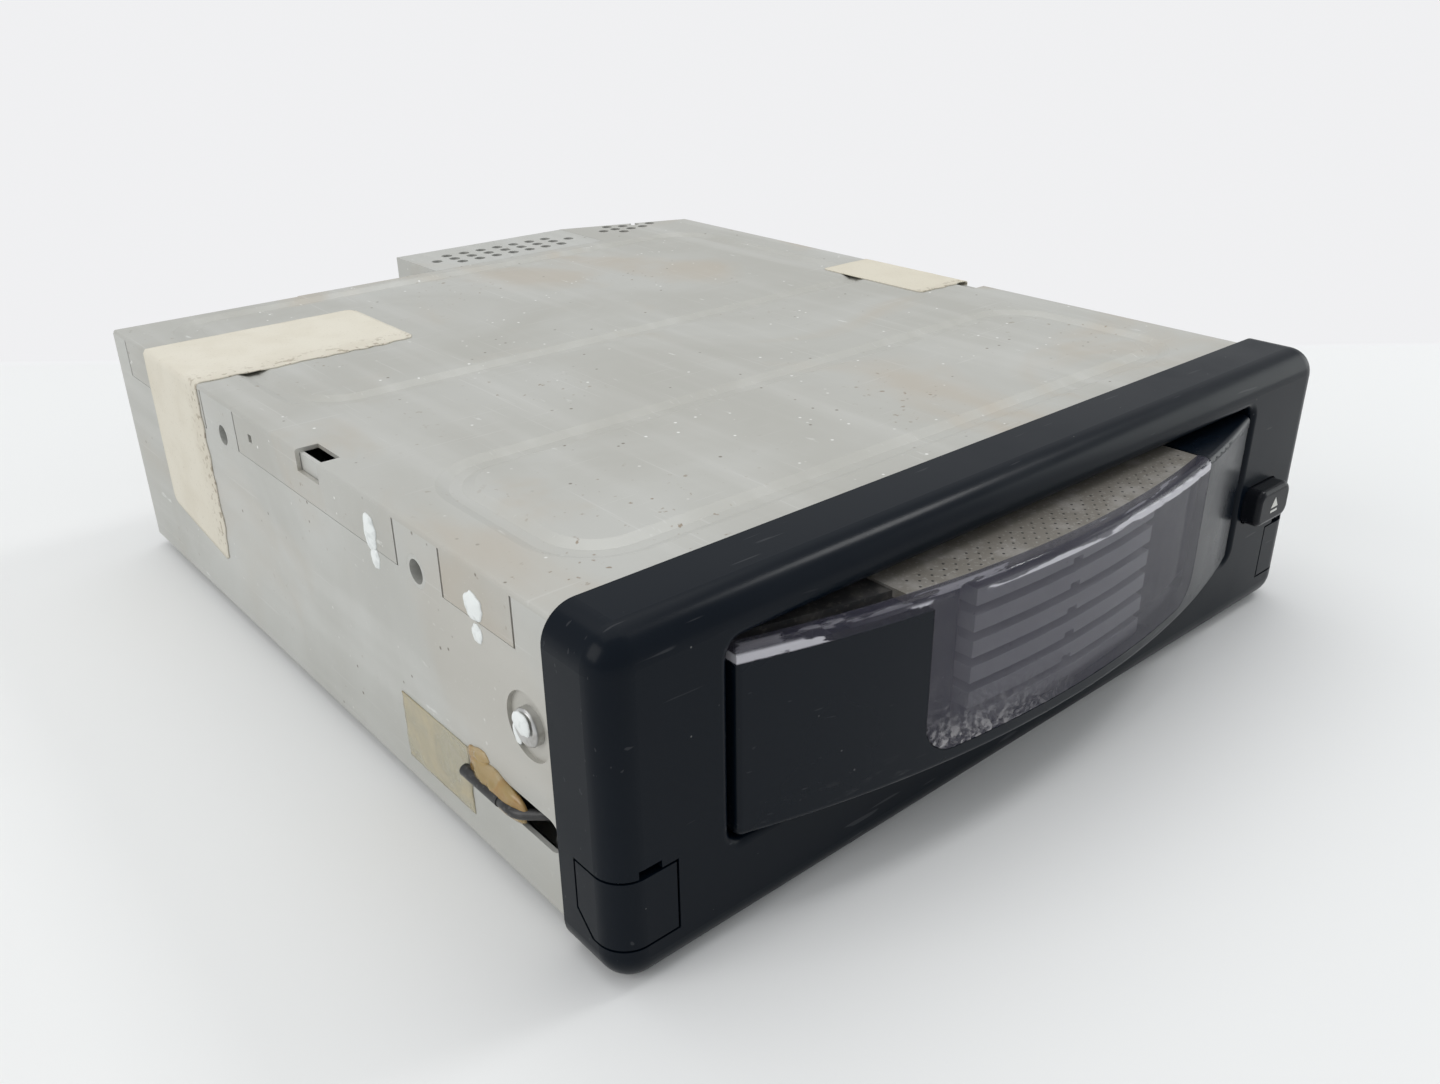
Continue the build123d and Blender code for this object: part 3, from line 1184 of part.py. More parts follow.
# flat cable from the control board, down through the base plate and back under it to the rear board
ribbon_low = (pan_floor + plate_z) / 2
ribbon_line = [
    (board_y[1] - 0.5, board_z[1] + 1.6),
    (ribbon_slot[1] - 2.0, board_z[1] + 1.6),
    (ribbon_slot[1] - 2.0, ribbon_low),
    (rear_board_y[0] - 3.4, ribbon_low),
    (rear_board_y[0] - 3.4, socket_z[0] + 4),
    (rear_board_y[0], socket_z[0] + 4),
]
with BuildPart() as ribbon_cable:
    with BuildLine(Plane.YZ.offset(ribbon_x[0] + 1)) as ribbon_path:
        FilletPolyline(*ribbon_line, radius=[2.2, 1.6, 1.6, 1.4])
    ribbon_wire = ribbon_path.wires()[0]
    with BuildSketch(Plane(origin=ribbon_wire @ 0, x_dir=(1, 0, 0),
                           z_dir=ribbon_wire % 0)) as ribbon_section:
        with Locations(((ribbon_x[1] - ribbon_x[0] - 2) / 2, 0)):
            Rectangle(ribbon_x[1] - ribbon_x[0] - 2, ribbon_thickness)
    sweep(ribbon_section.sketch, path=ribbon_wire)
save(ribbon_cable, "ribbon_cable")
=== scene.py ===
"""Single-slot car CD changer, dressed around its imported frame.

Lengths named with _mm are millimetres in the face frame: x from the faceplate's left edge, y behind its front
plane and z above the floor. FaceFrame.at turns them into metres in the shared frame.
"""
import logging
from collections.abc import Callable
from dataclasses import dataclass
from enum import Enum
from math import cos, pi, sin

import bmesh
import bpy
from mathutils import Matrix, Vector, noise


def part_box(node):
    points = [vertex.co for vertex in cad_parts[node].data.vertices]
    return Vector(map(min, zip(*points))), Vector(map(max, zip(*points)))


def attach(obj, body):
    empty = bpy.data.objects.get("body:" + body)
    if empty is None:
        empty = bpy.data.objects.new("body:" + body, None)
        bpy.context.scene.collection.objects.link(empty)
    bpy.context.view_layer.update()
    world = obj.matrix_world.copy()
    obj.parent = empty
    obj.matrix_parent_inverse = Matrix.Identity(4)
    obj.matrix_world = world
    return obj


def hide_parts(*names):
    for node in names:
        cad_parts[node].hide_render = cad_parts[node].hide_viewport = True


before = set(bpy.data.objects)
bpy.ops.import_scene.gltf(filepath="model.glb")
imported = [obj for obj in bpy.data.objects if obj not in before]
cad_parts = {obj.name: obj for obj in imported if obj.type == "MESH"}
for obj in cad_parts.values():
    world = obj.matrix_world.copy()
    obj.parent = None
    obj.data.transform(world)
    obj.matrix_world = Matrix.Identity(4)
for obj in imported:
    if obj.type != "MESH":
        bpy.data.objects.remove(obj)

log = logging.getLogger("changer")

MM = 0.001
Triple = tuple[float, float, float]
Socket = bpy.types.NodeSocket
Colour = Triple
Points = list[Vector]
Faces = list[tuple[int, ...]]

# the photograph's viewpoint, in millimetres of the face frame, and the level direction in which it looks
EYE = (-70.53, -105.91, 132.47)
AWAY = (0.646, 0.763)


class Body(Enum):
    """The rigid bodies that the dressed pieces ride on."""

    CHASSIS = "chassis"
    MAGAZINE = "magazine"
    BUTTON = "button"


class FaceFrame:
    """Turns millimetres in the face frame into metres in the shared frame."""

    def __init__(self) -> None:
        """Reads the faceplate's low corner and the lid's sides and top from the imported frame."""
        low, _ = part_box("face_plate")
        lid_low, lid_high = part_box("top_lid")
        self.corner = Vector((low[0], low[1], 0.0))
        self.wall_left = (lid_low[0] - low[0]) / MM
        self.wall_right = (lid_high[0] - low[0]) / MM
        self.lid_top = lid_high[2] / MM

    def at(self, x_mm: float, y_mm: float, z_mm: float) -> Vector:
        """Gives a point of the face frame in metres.

        Args:
            x_mm: distance right of the faceplate's left edge.
            y_mm: distance behind the faceplate's front plane.
            z_mm: height above the floor.

        Returns:
            The point in the shared frame.
        """
        return self.corner + Vector((x_mm, y_mm, z_mm)) * MM


class NodeSheet:
    """Short calls for laying out the nodes of one material."""

    def __init__(self, name: str) -> None:
        """Starts a material with its shader and its place on the object.

        Args:
            name: the material's name.
        """
        self.material = bpy.data.materials.new(name)
        self.material.use_nodes = True
        self.tree = self.material.node_tree
        self.shader = self.tree.nodes["Principled BSDF"]
        self.place = self.tree.nodes.new("ShaderNodeTexCoord").outputs["Object"]

    def feed(self, value: object, socket: Socket) -> None:
        """Links a socket, or sets it where the value is plain.

        Args:
            value: a socket, a number or a colour.
            socket: the input that takes it.
        """
        if isinstance(value, Socket):
            self.tree.links.new(value, socket)
        elif isinstance(value, tuple) and len(value) == 3 and socket.type == "RGBA":
            socket.default_value = (*value, 1.0)
        else:
            socket.default_value = value

    def math(self, operation: str, first: object, second: object = 0.0) -> Socket:
        """Adds a clamped sum, product or other operation on two values.

        Args:
            operation: the operation's name.
            first: a socket or a number.
            second: a socket or a number.

        Returns:
            The result.
        """
        node = self.tree.nodes.new("ShaderNodeMath")
        node.operation = operation
        node.use_clamp = True
        self.feed(first, node.inputs[0])
        self.feed(second, node.inputs[1])
        return node.outputs[0]

    def stretched(self, scale: Triple, turn: Triple = (0.0, 0.0, 0.0)) -> Socket:
        """Gives the place on the object, turned and then stretched along each axis.

        Args:
            scale: scale along each axis; under 1 draws the pattern out.
            turn: turn about each axis, in radians.

        Returns:
            The place to read a pattern at.
        """
        node = self.tree.nodes.new("ShaderNodeMapping")
        self.feed(self.place, node.inputs["Vector"])
        node.inputs["Rotation"].default_value = turn
        node.inputs["Scale"].default_value = scale
        return node.outputs[0]

    def noise(self, size_mm: float, detail: float = 3.0, at: object = None, bend: float = 0.0) -> Socket:
        """Adds soft noise whose lumps are about this large.

        Args:
            size_mm: the lumps' width.
            detail: how many finer layers there are.
            at: the place to read, or the place on the object.
            bend: how far the lumps are warped.

        Returns:
            The noise, about 0.5.
        """
        node = self.tree.nodes.new("ShaderNodeTexNoise")
        self.feed(at or self.place, node.inputs["Vector"])
        node.inputs["Scale"].default_value = 1.0 / (size_mm * MM)
        node.inputs["Detail"].default_value = detail
        node.inputs["Distortion"].default_value = bend
        return node.outputs["Fac"]

    def cells(self, size_mm: float, at: object = None) -> Socket:
        """Adds the distance to scattered points that lie about this far apart.

        Args:
            size_mm: the points' spacing.
            at: the place to read, or the place on the object.

        Returns:
            The distance, in spacings.
        """
        node = self.tree.nodes.new("ShaderNodeTexVoronoi")
        self.feed(at or self.place, node.inputs["Vector"])
        node.inputs["Scale"].default_value = 1.0 / (size_mm * MM)
        return node.outputs["Distance"]

    def step(self, value: object, low: float, high: float) -> Socket:
        """Turns a value into 0 below low and 1 above high, smoothly; low may be the larger one.

        Args:
            value: the value to read.
            low: value that gives 0.
            high: value that gives 1.

        Returns:
            The share from 0 to 1.
        """
        node = self.tree.nodes.new("ShaderNodeMapRange")
        node.interpolation_type = "SMOOTHSTEP"
        self.feed(value, node.inputs["Value"])
        node.inputs["From Min"].default_value = low
        node.inputs["From Max"].default_value = high
        return node.outputs["Result"]

    def along(self, axis: str) -> Socket:
        """Gives one coordinate of the place on the object, in metres.

        Args:
            axis: X, Y or Z.

        Returns:
            The coordinate.
        """
        node = self.tree.nodes.new("ShaderNodeSeparateXYZ")
        self.feed(self.place, node.inputs[0])
        return node.outputs[axis]

    def times(self, first: object, second: object) -> Socket:
        """Multiplies two values."""
        return self.math("MULTIPLY", first, second)

    def mix(self, share: object, first: object, second: object) -> Socket:
        """Mixes two colours.

        Args:
            share: the second colour's share.
            first: the colour at 0.
            second: the colour at 1.

        Returns:
            The mixed colour.
        """
        node = self.tree.nodes.new("ShaderNodeMix")
        node.data_type = "RGBA"
        self.feed(share, node.inputs["Factor"])
        self.feed(first, node.inputs[6])
        self.feed(second, node.inputs[7])
        return node.outputs[2]

    def between(self, share: object, first: float, second: float) -> Socket:
        """Mixes two numbers.

        Args:
            share: the second number's share.
            first: the number at 0.
            second: the number at 1.

        Returns:
            The mixed number.
        """
        node = self.tree.nodes.new("ShaderNodeMapRange")
        self.feed(share, node.inputs["Value"])
        node.inputs["To Min"].default_value = first
        node.inputs["To Max"].default_value = second
        return node.outputs["Result"]

    def bump(self, height: object, depth_mm: float, strength: float = 1.0) -> None:
        """Presses a height field into the surface.

        Args:
            height: the height field.
            depth_mm: depth of a full step.
            strength: share of the slope that shows.
        """
        node = self.tree.nodes.new("ShaderNodeBump")
        node.inputs["Strength"].default_value = strength
        node.inputs["Distance"].default_value = depth_mm * MM
        self.feed(height, node.inputs["Height"])
        self.feed(node.outputs[0], self.shader.inputs["Normal"])

    def paint(self, colour: object) -> None:
        """Sets the surface's colour."""
        self.feed(colour, self.shader.inputs["Base Color"])

    def set(self, **values: object) -> None:
        """Sets the shader's own sockets, with underscores for the spaces in their names."""
        for name, value in values.items():
            self.feed(value, self.shader.inputs[name.replace("_", " ").title().replace("Ior", "IOR")])


@dataclass(frozen=True)
class Finish:
    """A surface finish that makes its material once."""

    name: str

    def dress(self, sheet: NodeSheet) -> None:
        """Lays out the finish's nodes."""

    def material(self) -> bpy.types.Material:
        """Gives the finish's material, made on its first use.

        Returns:
            The material.
        """
        known = bpy.data.materials.get(f"look_{self.name}")
        if known:
            return known
        sheet = NodeSheet(f"look_{self.name}")
        self.dress(sheet)
        return sheet.material


@dataclass(frozen=True)
class Galvanised(Finish):
    """Dull zinc-coated sheet with handling marks, brown stains, pale scuffs and scratches."""

    light: Colour = (0.545, 0.550, 0.525)
    dark: Colour = (0.475, 0.475, 0.445)
    stain: Colour = (0.25, 0.19, 0.13)
    stains: float = 0.5
    scratches: float = 0.5

    def dress(self, sheet: NodeSheet) -> None:
        """Lays out the sheet metal's nodes.

        Args:
            sheet: the material's nodes.
        """
        blotches = sheet.step(sheet.noise(48, 5, bend=0.5), 0.30, 0.75)
        colour = sheet.mix(blotches, self.dark, self.light)
        rolled = sheet.noise(7, 2, at=sheet.stretched((1.0, 0.06, 1.0)))
        colour = sheet.mix(sheet.times(sheet.step(rolled, 0.45, 0.75), 0.18), colour, (0.70, 0.70, 0.68))
        warm = sheet.step(sheet.noise(55, 4, bend=1.2), 0.52, 0.70)
        colour = sheet.mix(sheet.times(warm, 0.42 * self.stains), colour, (0.47, 0.40, 0.31))
        where = sheet.step(sheet.noise(42, 3), 0.50, 0.66)
        spots = sheet.step(sheet.noise(1.7, 3), 0.66, 0.74)
        spots = sheet.times(sheet.times(where, spots), 0.75 * self.stains)
        colour = sheet.mix(spots, colour, self.stain)
        specks = sheet.step(sheet.cells(4.2), 0.10, 0.05)
        kept = sheet.step(sheet.noise(14, 1), 0.52, 0.60)
        colour = sheet.mix(sheet.times(sheet.times(specks, kept), 0.75), colour,
                           (0.13, 0.10, 0.07))
        pale = sheet.step(sheet.cells(3.3, at=sheet.stretched((1.0, 1.0, 1.0), (0.4, 0.7, 0.2))), 0.12, 0.06)
        turned = sheet.stretched((1.0, 1.0, 1.0), (1.4, 0.2, 0.9))
        kept = sheet.step(sheet.noise(11, 1, at=turned), 0.53, 0.60)
        colour = sheet.mix(sheet.times(sheet.times(pale, kept), 0.75 * self.stains), colour,
                           (0.86, 0.86, 0.84))
        drawn = sheet.stretched((1.0, 0.30, 1.0), (0.0, 0.0, 0.5))
        scuffs = sheet.step(sheet.noise(2.6, 4, at=drawn), 0.70, 0.78)
        colour = sheet.mix(sheet.times(scuffs, 0.5), colour, (0.80, 0.81, 0.79))
        lines = sheet.noise(0.8, 1, at=sheet.stretched((1.0, 0.025, 1.0), (0.0, 0.0, 0.9)))
        more = sheet.noise(0.7, 1, at=sheet.stretched((0.03, 1.0, 1.0), (0.0, 0.0, 0.35)))
        lines = sheet.math("MAXIMUM", sheet.step(lines, 0.70, 0.74), sheet.step(more, 0.71, 0.75))
        colour = sheet.mix(sheet.times(lines, 0.45 * self.scratches), colour, (0.80, 0.80, 0.79))
        sheet.paint(colour)
        sheet.set(roughness=sheet.between(blotches, 0.60, 0.48), metallic=0.35)
        grain = sheet.math("ADD", sheet.noise(0.35, 2), sheet.times(lines, -0.4))
        sheet.bump(grain, 0.02, 0.5)


@dataclass(frozen=True)
class SatinBlack(Finish):
    """Finely textured black moulding with a blue tint, faint dust and hairline marks."""

    colour: Colour = (0.0016, 0.0042, 0.0085)
    dusty: Colour = (0.016, 0.022, 0.028)
    roughness: float = 0.31
    dust: float = 0.30
    grain_mm: float = 0.16

    def dress(self, sheet: NodeSheet) -> None:
        """Lays out the moulding's nodes.

        Args:
            sheet: the material's nodes.
        """
        cloud = sheet.step(sheet.noise(26, 4), 0.40, 0.72)
        colour = sheet.mix(sheet.times(cloud, 0.25 * self.dust), self.colour, self.dusty)
        specks = sheet.step(sheet.cells(2.2), 0.085, 0.05)
        kept = sheet.step(sheet.noise(5, 2), 0.60, 0.66)
        specks = sheet.times(sheet.times(specks, kept), self.dust)
        colour = sheet.mix(specks, colour, (0.36, 0.36, 0.35))
        hairs = sheet.noise(0.7, 1, at=sheet.stretched((0.05, 1.0, 0.5), (0.2, 0.5, 0.3)))
        hairs = sheet.times(sheet.step(hairs, 0.73, 0.77), 0.35 * self.dust)
        sheet.paint(sheet.mix(hairs, colour, (0.22, 0.22, 0.23)))
        sheet.set(roughness=sheet.between(cloud, self.roughness - 0.03, self.roughness + 0.08))
        sheet.set(specular_ior_level=0.07, coat_weight=0.10, coat_roughness=0.18)
        sheet.bump(sheet.noise(self.grain_mm, 2), 0.006, 0.25)


@dataclass(frozen=True)
class MagazineShell(Finish):
    """Glossy near-black shell of the magazine's front, with curved scuffs and dust along its lower edge."""

    colour: Colour = (0.0030, 0.0058, 0.0105)

    def dress(self, sheet: NodeSheet) -> None:
        """Lays out the shell's nodes.

        Args:
            sheet: the material's nodes.
        """
        edge = sheet.step(sheet.along("Z"), 0.024, 0.0175)
        wear = sheet.step(sheet.noise(1.5, 4, at=sheet.stretched((0.16, 1.0, 1.0))), 0.56, 0.70)
        colour = sheet.mix(sheet.times(sheet.times(edge, wear), 0.16), self.colour,
                           (0.16, 0.16, 0.16))
        hairs = sheet.noise(0.8, 1, at=sheet.stretched((0.04, 1.0, 1.0), (0.0, 0.55, 0.1)))
        hairs = sheet.times(sheet.step(hairs, 0.74, 0.80), 0.10)
        colour = sheet.mix(hairs, colour, (0.15, 0.15, 0.16))
        specks = sheet.times(sheet.step(sheet.cells(4.1), 0.06, 0.03), 0.35)
        sheet.paint(sheet.mix(specks, colour, (0.20, 0.20, 0.20)))
        cloud = sheet.step(sheet.noise(18, 3), 0.35, 0.70)
        sheet.set(roughness=sheet.between(cloud, 0.26, 0.34))
        sheet.set(specular_ior_level=0.10, coat_weight=0.14, coat_roughness=0.12)
        sheet.bump(sheet.noise(0.4, 2), 0.008, 0.4)


@dataclass(frozen=True)
class SmokyClear(Finish):
    """Smoky clear window with a dusty haze and a painted broken highlight along its top edge."""

    tint: Colour = (0.060, 0.058, 0.085)
    dust: Colour = (0.36, 0.35, 0.355)

    def dress(self, sheet: NodeSheet) -> None:
        """Lays out the window's nodes.

        Args:
            sheet: the material's nodes.
        """
        height = sheet.along("Z")
        across = sheet.along("X")
        haze = sheet.step(sheet.noise(9, 2), 0.42, 0.72)
        corner = sheet.times(sheet.step(height, 0.030, 0.019), sheet.step(across, 0.005, -0.036))
        dusty = sheet.step(sheet.noise(1.1, 2), 0.42, 0.66)
        dust = sheet.math("ADD", sheet.times(haze, 0.06), sheet.times(corner, dusty))
        specks = sheet.times(sheet.step(sheet.cells(3.4), 0.09, 0.05), 0.4)
        dust = sheet.math("ADD", dust, specks)
        # painted highlight: broken near-white dashes along the clear strip's top rim, put into the colour and
        # the opacity
        strip = sheet.step(height, 0.0460, 0.0464)
        dashes = sheet.step(sheet.noise(3.0, 4, at=sheet.stretched((0.16, 1.0, 1.0))), 0.49, 0.54)
        rim = sheet.times(sheet.step(height, 0.0462, 0.0466), sheet.step(height, 0.0482, 0.0476))
        painted_glint = sheet.times(sheet.times(strip, rim), sheet.times(dashes, 0.80))
        colour = sheet.mix(dust, self.tint, self.dust)
        colour = sheet.mix(painted_glint, colour, (0.74, 0.73, 0.78))
        sheet.paint(colour)
        solid = sheet.math("MAXIMUM", sheet.between(dust, 0.36, 0.90), sheet.between(painted_glint, 0.30, 0.92))
        sheet.set(alpha=solid, roughness=0.12, specular_ior_level=0.4, coat_weight=0.2, coat_roughness=0.06)
        sheet.bump(sheet.noise(4.0, 1), 0.006, 0.25)


@dataclass(frozen=True)
class Moulding(Finish):
    """Plain moulded plastic or rubber with a light grain and dust."""

    colour: Colour = (0.2, 0.2, 0.2)
    dust: Colour = (0.35, 0.34, 0.33)
    roughness: float = 0.5
    dust_share: float = 0.25

    def dress(self, sheet: NodeSheet) -> None:
        """Lays out the moulding's nodes.

        Args:
            sheet: the material's nodes.
        """
        cloud = sheet.step(sheet.noise(6, 4), 0.45, 0.75)
        fine = sheet.step(sheet.noise(0.7, 3), 0.55, 0.70)
        share = sheet.times(sheet.math("ADD", cloud, fine), self.dust_share)
        sheet.paint(sheet.mix(share, self.colour, self.dust))
        sheet.set(roughness=self.roughness)
        sheet.bump(sheet.noise(0.3, 2), 0.01, 0.4)


@dataclass(frozen=True)
class TurnedMetal(Finish):
    """Plated, turned or pressed metal with a fine grain."""

    colour: Colour = (0.58, 0.58, 0.57)
    tarnish: Colour = (0.30, 0.28, 0.25)
    roughness: float = 0.32

    def dress(self, sheet: NodeSheet) -> None:
        """Lays out the metal's nodes.

        Args:
            sheet: the material's nodes.
        """
        cloud = sheet.step(sheet.noise(3.0, 4), 0.48, 0.75)
        sheet.paint(sheet.mix(sheet.times(cloud, 0.6), self.colour, self.tarnish))
        sheet.set(roughness=sheet.between(cloud, self.roughness, self.roughness + 0.18), metallic=0.9)
        sheet.bump(sheet.noise(0.25, 2), 0.008, 0.4)


@dataclass(frozen=True)
class AgedPaper(Finish):
    """Beige sticker paper with fibres, dirt specks and a darker, torn front edge."""

    colour: Colour = (0.69, 0.655, 0.565)
    grime: Colour = (0.33, 0.28, 0.21)
    dark_edge_y: tuple[float, float] = (0.0, 1.0)

    def dress(self, sheet: NodeSheet) -> None:
        """Lays out the paper's nodes.

        Args:
            sheet: the material's nodes.
        """
        cloud = sheet.step(sheet.noise(9, 5), 0.38, 0.72)
        colour = sheet.mix(sheet.times(cloud, 0.30), self.colour, (0.58, 0.53, 0.43))
        edge = sheet.step(sheet.along("Y"), self.dark_edge_y[1], self.dark_edge_y[0])
        dirt = sheet.step(sheet.noise(1.3, 5), 0.56, 0.64)
        fine = sheet.step(sheet.noise(0.6, 3), 0.62, 0.70)
        near = sheet.times(edge, sheet.math("ADD", dirt, 0.15))
        colour = sheet.mix(sheet.times(near, 0.75), colour, self.grime)
        colour = sheet.mix(sheet.times(fine, 0.22), colour, self.grime)
        sheet.paint(colour)
        sheet.set(roughness=0.86, specular_ior_level=0.2)
        sheet.bump(sheet.math("ADD", sheet.noise(0.25, 3), sheet.times(sheet.noise(6, 2), 0.6)), 0.05, 0.6)


@dataclass(frozen=True)
class ClearFilm(Finish):
    """Yellowed clear film or old glue, seen through in part."""

    colour: Colour = (0.50, 0.42, 0.26)
    deep: Colour = (0.33, 0.19, 0.06)
    solid: float = 0.5
    lumps_mm: float = 5.0

    def dress(self, sheet: NodeSheet) -> None:
        """Lays out the film's nodes.

        Args:
            sheet: the material's nodes.
        """
        cloud = sheet.step(sheet.noise(self.lumps_mm, 4, bend=1.0), 0.40, 0.66)
        sheet.paint(sheet.mix(cloud, self.colour, self.deep))
        sheet.set(alpha=sheet.between(cloud, self.solid - 0.12, self.solid + 0.2))
        sheet.set(roughness=0.22, coat_weight=0.4, coat_roughness=0.1)
        sheet.bump(sheet.noise(1.6, 3, bend=1.5), 0.10, 0.5)


@dataclass(frozen=True)
class Lacquer(Finish):
    """Thick white locking lacquer with a grubby rim."""

    colour: Colour = (0.80, 0.83, 0.82)

    def dress(self, sheet: NodeSheet) -> None:
        """Lays out the lacquer's nodes.

        Args:
            sheet: the material's nodes.
        """
        cloud = sheet.step(sheet.noise(1.6, 4), 0.52, 0.70)
        sheet.paint(sheet.mix(sheet.times(cloud, 0.45), self.colour, (0.52, 0.55, 0.54)))
        sheet.set(roughness=0.42)
        sheet.bump(sheet.noise(0.8, 3), 0.05, 0.5)


@dataclass(frozen=True)
class CircuitBoard(Finish):
    """Green solder mask over faint copper tracks."""

    colour: Colour = (0.018, 0.11, 0.045)

    def dress(self, sheet: NodeSheet) -> None:
        """Lays out the board's nodes.

        Args:
            sheet: the material's nodes.
        """
        grid = sheet.tree.nodes.new("ShaderNodeTexBrick")
        sheet.feed(sheet.place, grid.inputs["Vector"])
        grid.inputs["Scale"].default_value = 160.0
        grid.inputs["Mortar Size"].default_value = 0.06
        tracks = grid.outputs["Fac"]
        sheet.paint(sheet.mix(sheet.times(tracks, 0.6), self.colour, (0.06, 0.24, 0.10)))
        sheet.set(roughness=0.35)
        sheet.bump(tracks, 0.03, 0.4)


# ---------------------------------------------------------------- shaping pieces
def shaped(name: str, points: Points, faces: Faces, finish: Finish, body: Body) -> bpy.types.Object:
    """Makes one dressed piece from its corners and faces.

    Args:
        name: the piece's own name.
        points: corners in the shared frame, in metres.
        faces: corner numbers of each face.
        finish: the piece's surface.
        body: the rigid body that carries the piece.

    Returns:
        The new object, riding on its body.
    """
    mesh = bpy.data.meshes.new(name)
    mesh.from_pydata(points, [], faces)
    shell = bmesh.new()
    shell.from_mesh(mesh)
    bmesh.ops.recalc_face_normals(shell, faces=shell.faces)
    shell.to_mesh(mesh)
    shell.free()
    mesh.shade_smooth()
    mesh.materials.append(finish.material())
    piece = bpy.data.objects.new(name, mesh)
    bpy.context.scene.collection.objects.link(piece)
    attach(piece, body.value)
    log.info("piece %s: %d corners on %s", name, len(points), body.value)
    return piece


def skin(steps: int, columns: int, pair: Callable[[int, int], tuple[Vector, Vector]]) -> tuple[Points, Faces]:
    """Closes a grid of front points and the points behind them into one solid skin.

    Args:
        steps: spaces from the first row to the last.
        columns: spaces along each row.
        pair: gives the front point and the point behind it at a row and a column.

    Returns:
        The skin's points and the corner numbers of its faces.
    """
    width = columns + 1
    count = width * (steps + 1)
    grid = [pair(step, column) for step in range(steps + 1) for column in range(width)]
    front = [(corner, corner + 1, corner + width + 1, corner + width)
             for step in range(steps) for corner in range(step * width, step * width + columns)]
    back = [tuple(count + corner for corner in reversed(face)) for face in front]
    rim = list(range(width))
    rim += [row * width + columns for row in range(1, steps + 1)]
    rim += [steps * width + column for column in range(columns - 1, -1, -1)]
    rim += [row * width for row in range(steps - 1, 0, -1)]
    sides = [(corner, count + corner, count + after, after) for corner, after in zip(rim, rim[1:] + rim[:1])]
    return [near for near, _ in grid] + [far for _, far in grid], front + back + sides


def dome_faces(first: int, rings: int, sides: int) -> Faces:
    """Joins rings of corners and the point above them into a closed dome.

    Args:
        first: number of the lowest ring's first corner.
        rings: how many rings there are.
        sides: how many corners each ring has.

    Returns:
        The corner numbers of the dome's faces.
    """
    faces: Faces = []
    for low in range(first, first + (rings - 1) * sides, sides):
        for side in range(sides):
            after = (side + 1) % sides
            faces.append((low + side, low + after, low + sides + after, low + sides + side))
    last = first + (rings - 1) * sides
    faces += [(last + side, last + (side + 1) % sides, last + sides) for side in range(sides)]
    faces.append(tuple(first + side for side in reversed(range(sides))))
    return faces


def rough(x: float, y: float, size: float, seed: float = 0.0) -> float:
    """Gives soft noise from -1 to 1 at a place, with lumps of about this size."""
    return noise.noise(Vector((x / size, y / size, seed)))


def dress_nodes(finish: Finish, *names: str) -> None:
    """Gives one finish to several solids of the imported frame.

    Args:
        finish: the solids' new surface.
        names: the solids' node names.
    """
    for name in names:
        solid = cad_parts[name]
        solid.data.materials.clear()
        solid.data.materials.append(finish.material())
        for face in solid.data.polygons:
            face.material_index = 0
    log.info("finish %s on %s", finish.name, ", ".join(names))


# ---------------------------------------------------------------- camera and studio
@dataclass
class Camera:
    """The photograph's viewpoint, worked out in the face frame."""

    place: FaceFrame
    yaw: float = 0.70255
    pitch: float = 0.44932
    roll: float = -0.01343
    lens_mm: float = 30.548
    sensor_mm: float = 36.0

    def build(self) -> None:
        """Makes the camera and sets it as the scene's own."""
        ahead = Vector((sin(self.yaw) * cos(self.pitch), cos(self.yaw) * cos(self.pitch), -sin(self.pitch)))
        level = Vector((cos(self.yaw), -sin(self.yaw), 0.0))
        upright = level.cross(ahead)
        across = level * cos(self.roll) + upright * sin(self.roll)
        top = upright * cos(self.roll) - level * sin(self.roll)
        data = bpy.data.cameras.new("viewpoint")
        data.lens = self.lens_mm
        data.sensor_width = self.sensor_mm
        data.sensor_fit = "HORIZONTAL"
        data.clip_start = 0.01
        data.clip_end = 100.0
        camera = bpy.data.objects.new("viewpoint", data)
        turn = Matrix((across, top, -ahead)).transposed()
        camera.matrix_world = Matrix.Translation(self.place.at(*EYE)) @ turn.to_4x4()
        bpy.context.scene.collection.objects.link(camera)
        bpy.context.scene.camera = camera
        log.info("camera at %s", tuple(round(value, 4) for value in camera.location))


@dataclass(frozen=True)
class FloorPaint(Finish):
    """Plain pale floor that turns a little lighter behind the object."""

    floor: Colour = (0.815, 0.820, 0.815)
    wall: Colour = (0.870, 0.872, 0.885)
    turn_at: float = 0.0
    blur: float = 0.004

    def dress(self, sheet: NodeSheet) -> None:
        """Lays out the floor's nodes.

        Args:
            sheet: the material's nodes.
        """
        node = sheet.tree.nodes.new("ShaderNodeVectorMath")
        node.operation = "DOT_PRODUCT"
        sheet.feed(sheet.place, node.inputs[0])
        node.inputs[1].default_value = (*AWAY, 0.0)
        behind = sheet.step(node.outputs["Value"], self.turn_at - self.blur, self.turn_at + self.blur)
        soft = sheet.between(sheet.noise(420, 2), 0.0, 0.25)
        floor = sheet.mix(soft, self.floor, self.wall)
        sheet.paint(sheet.mix(behind, floor, self.wall))
        sheet.set(roughness=0.55, specular_ior_level=0.25)
        rays = sheet.tree.nodes.new("ShaderNodeLightPath").outputs
        seen = sheet.math("MAXIMUM", rays["Is Camera Ray"], rays["Is Glossy Ray"])
        seen = sheet.math("MAXIMUM", seen, rays["Is Transmission Ray"])
        glow = sheet.tree.nodes.new("ShaderNodeEmission")
        sheet.feed(self.wall, glow.inputs["Color"])
        blend = sheet.tree.nodes.new("ShaderNodeMixShader")
        sheet.feed(sheet.times(behind, seen), blend.inputs[0])
        sheet.feed(sheet.shader.outputs[0], blend.inputs[1])
        sheet.feed(glow.outputs[0], blend.inputs[2])
        sheet.feed(blend.outputs[0], sheet.tree.nodes["Material Output"].inputs["Surface"])


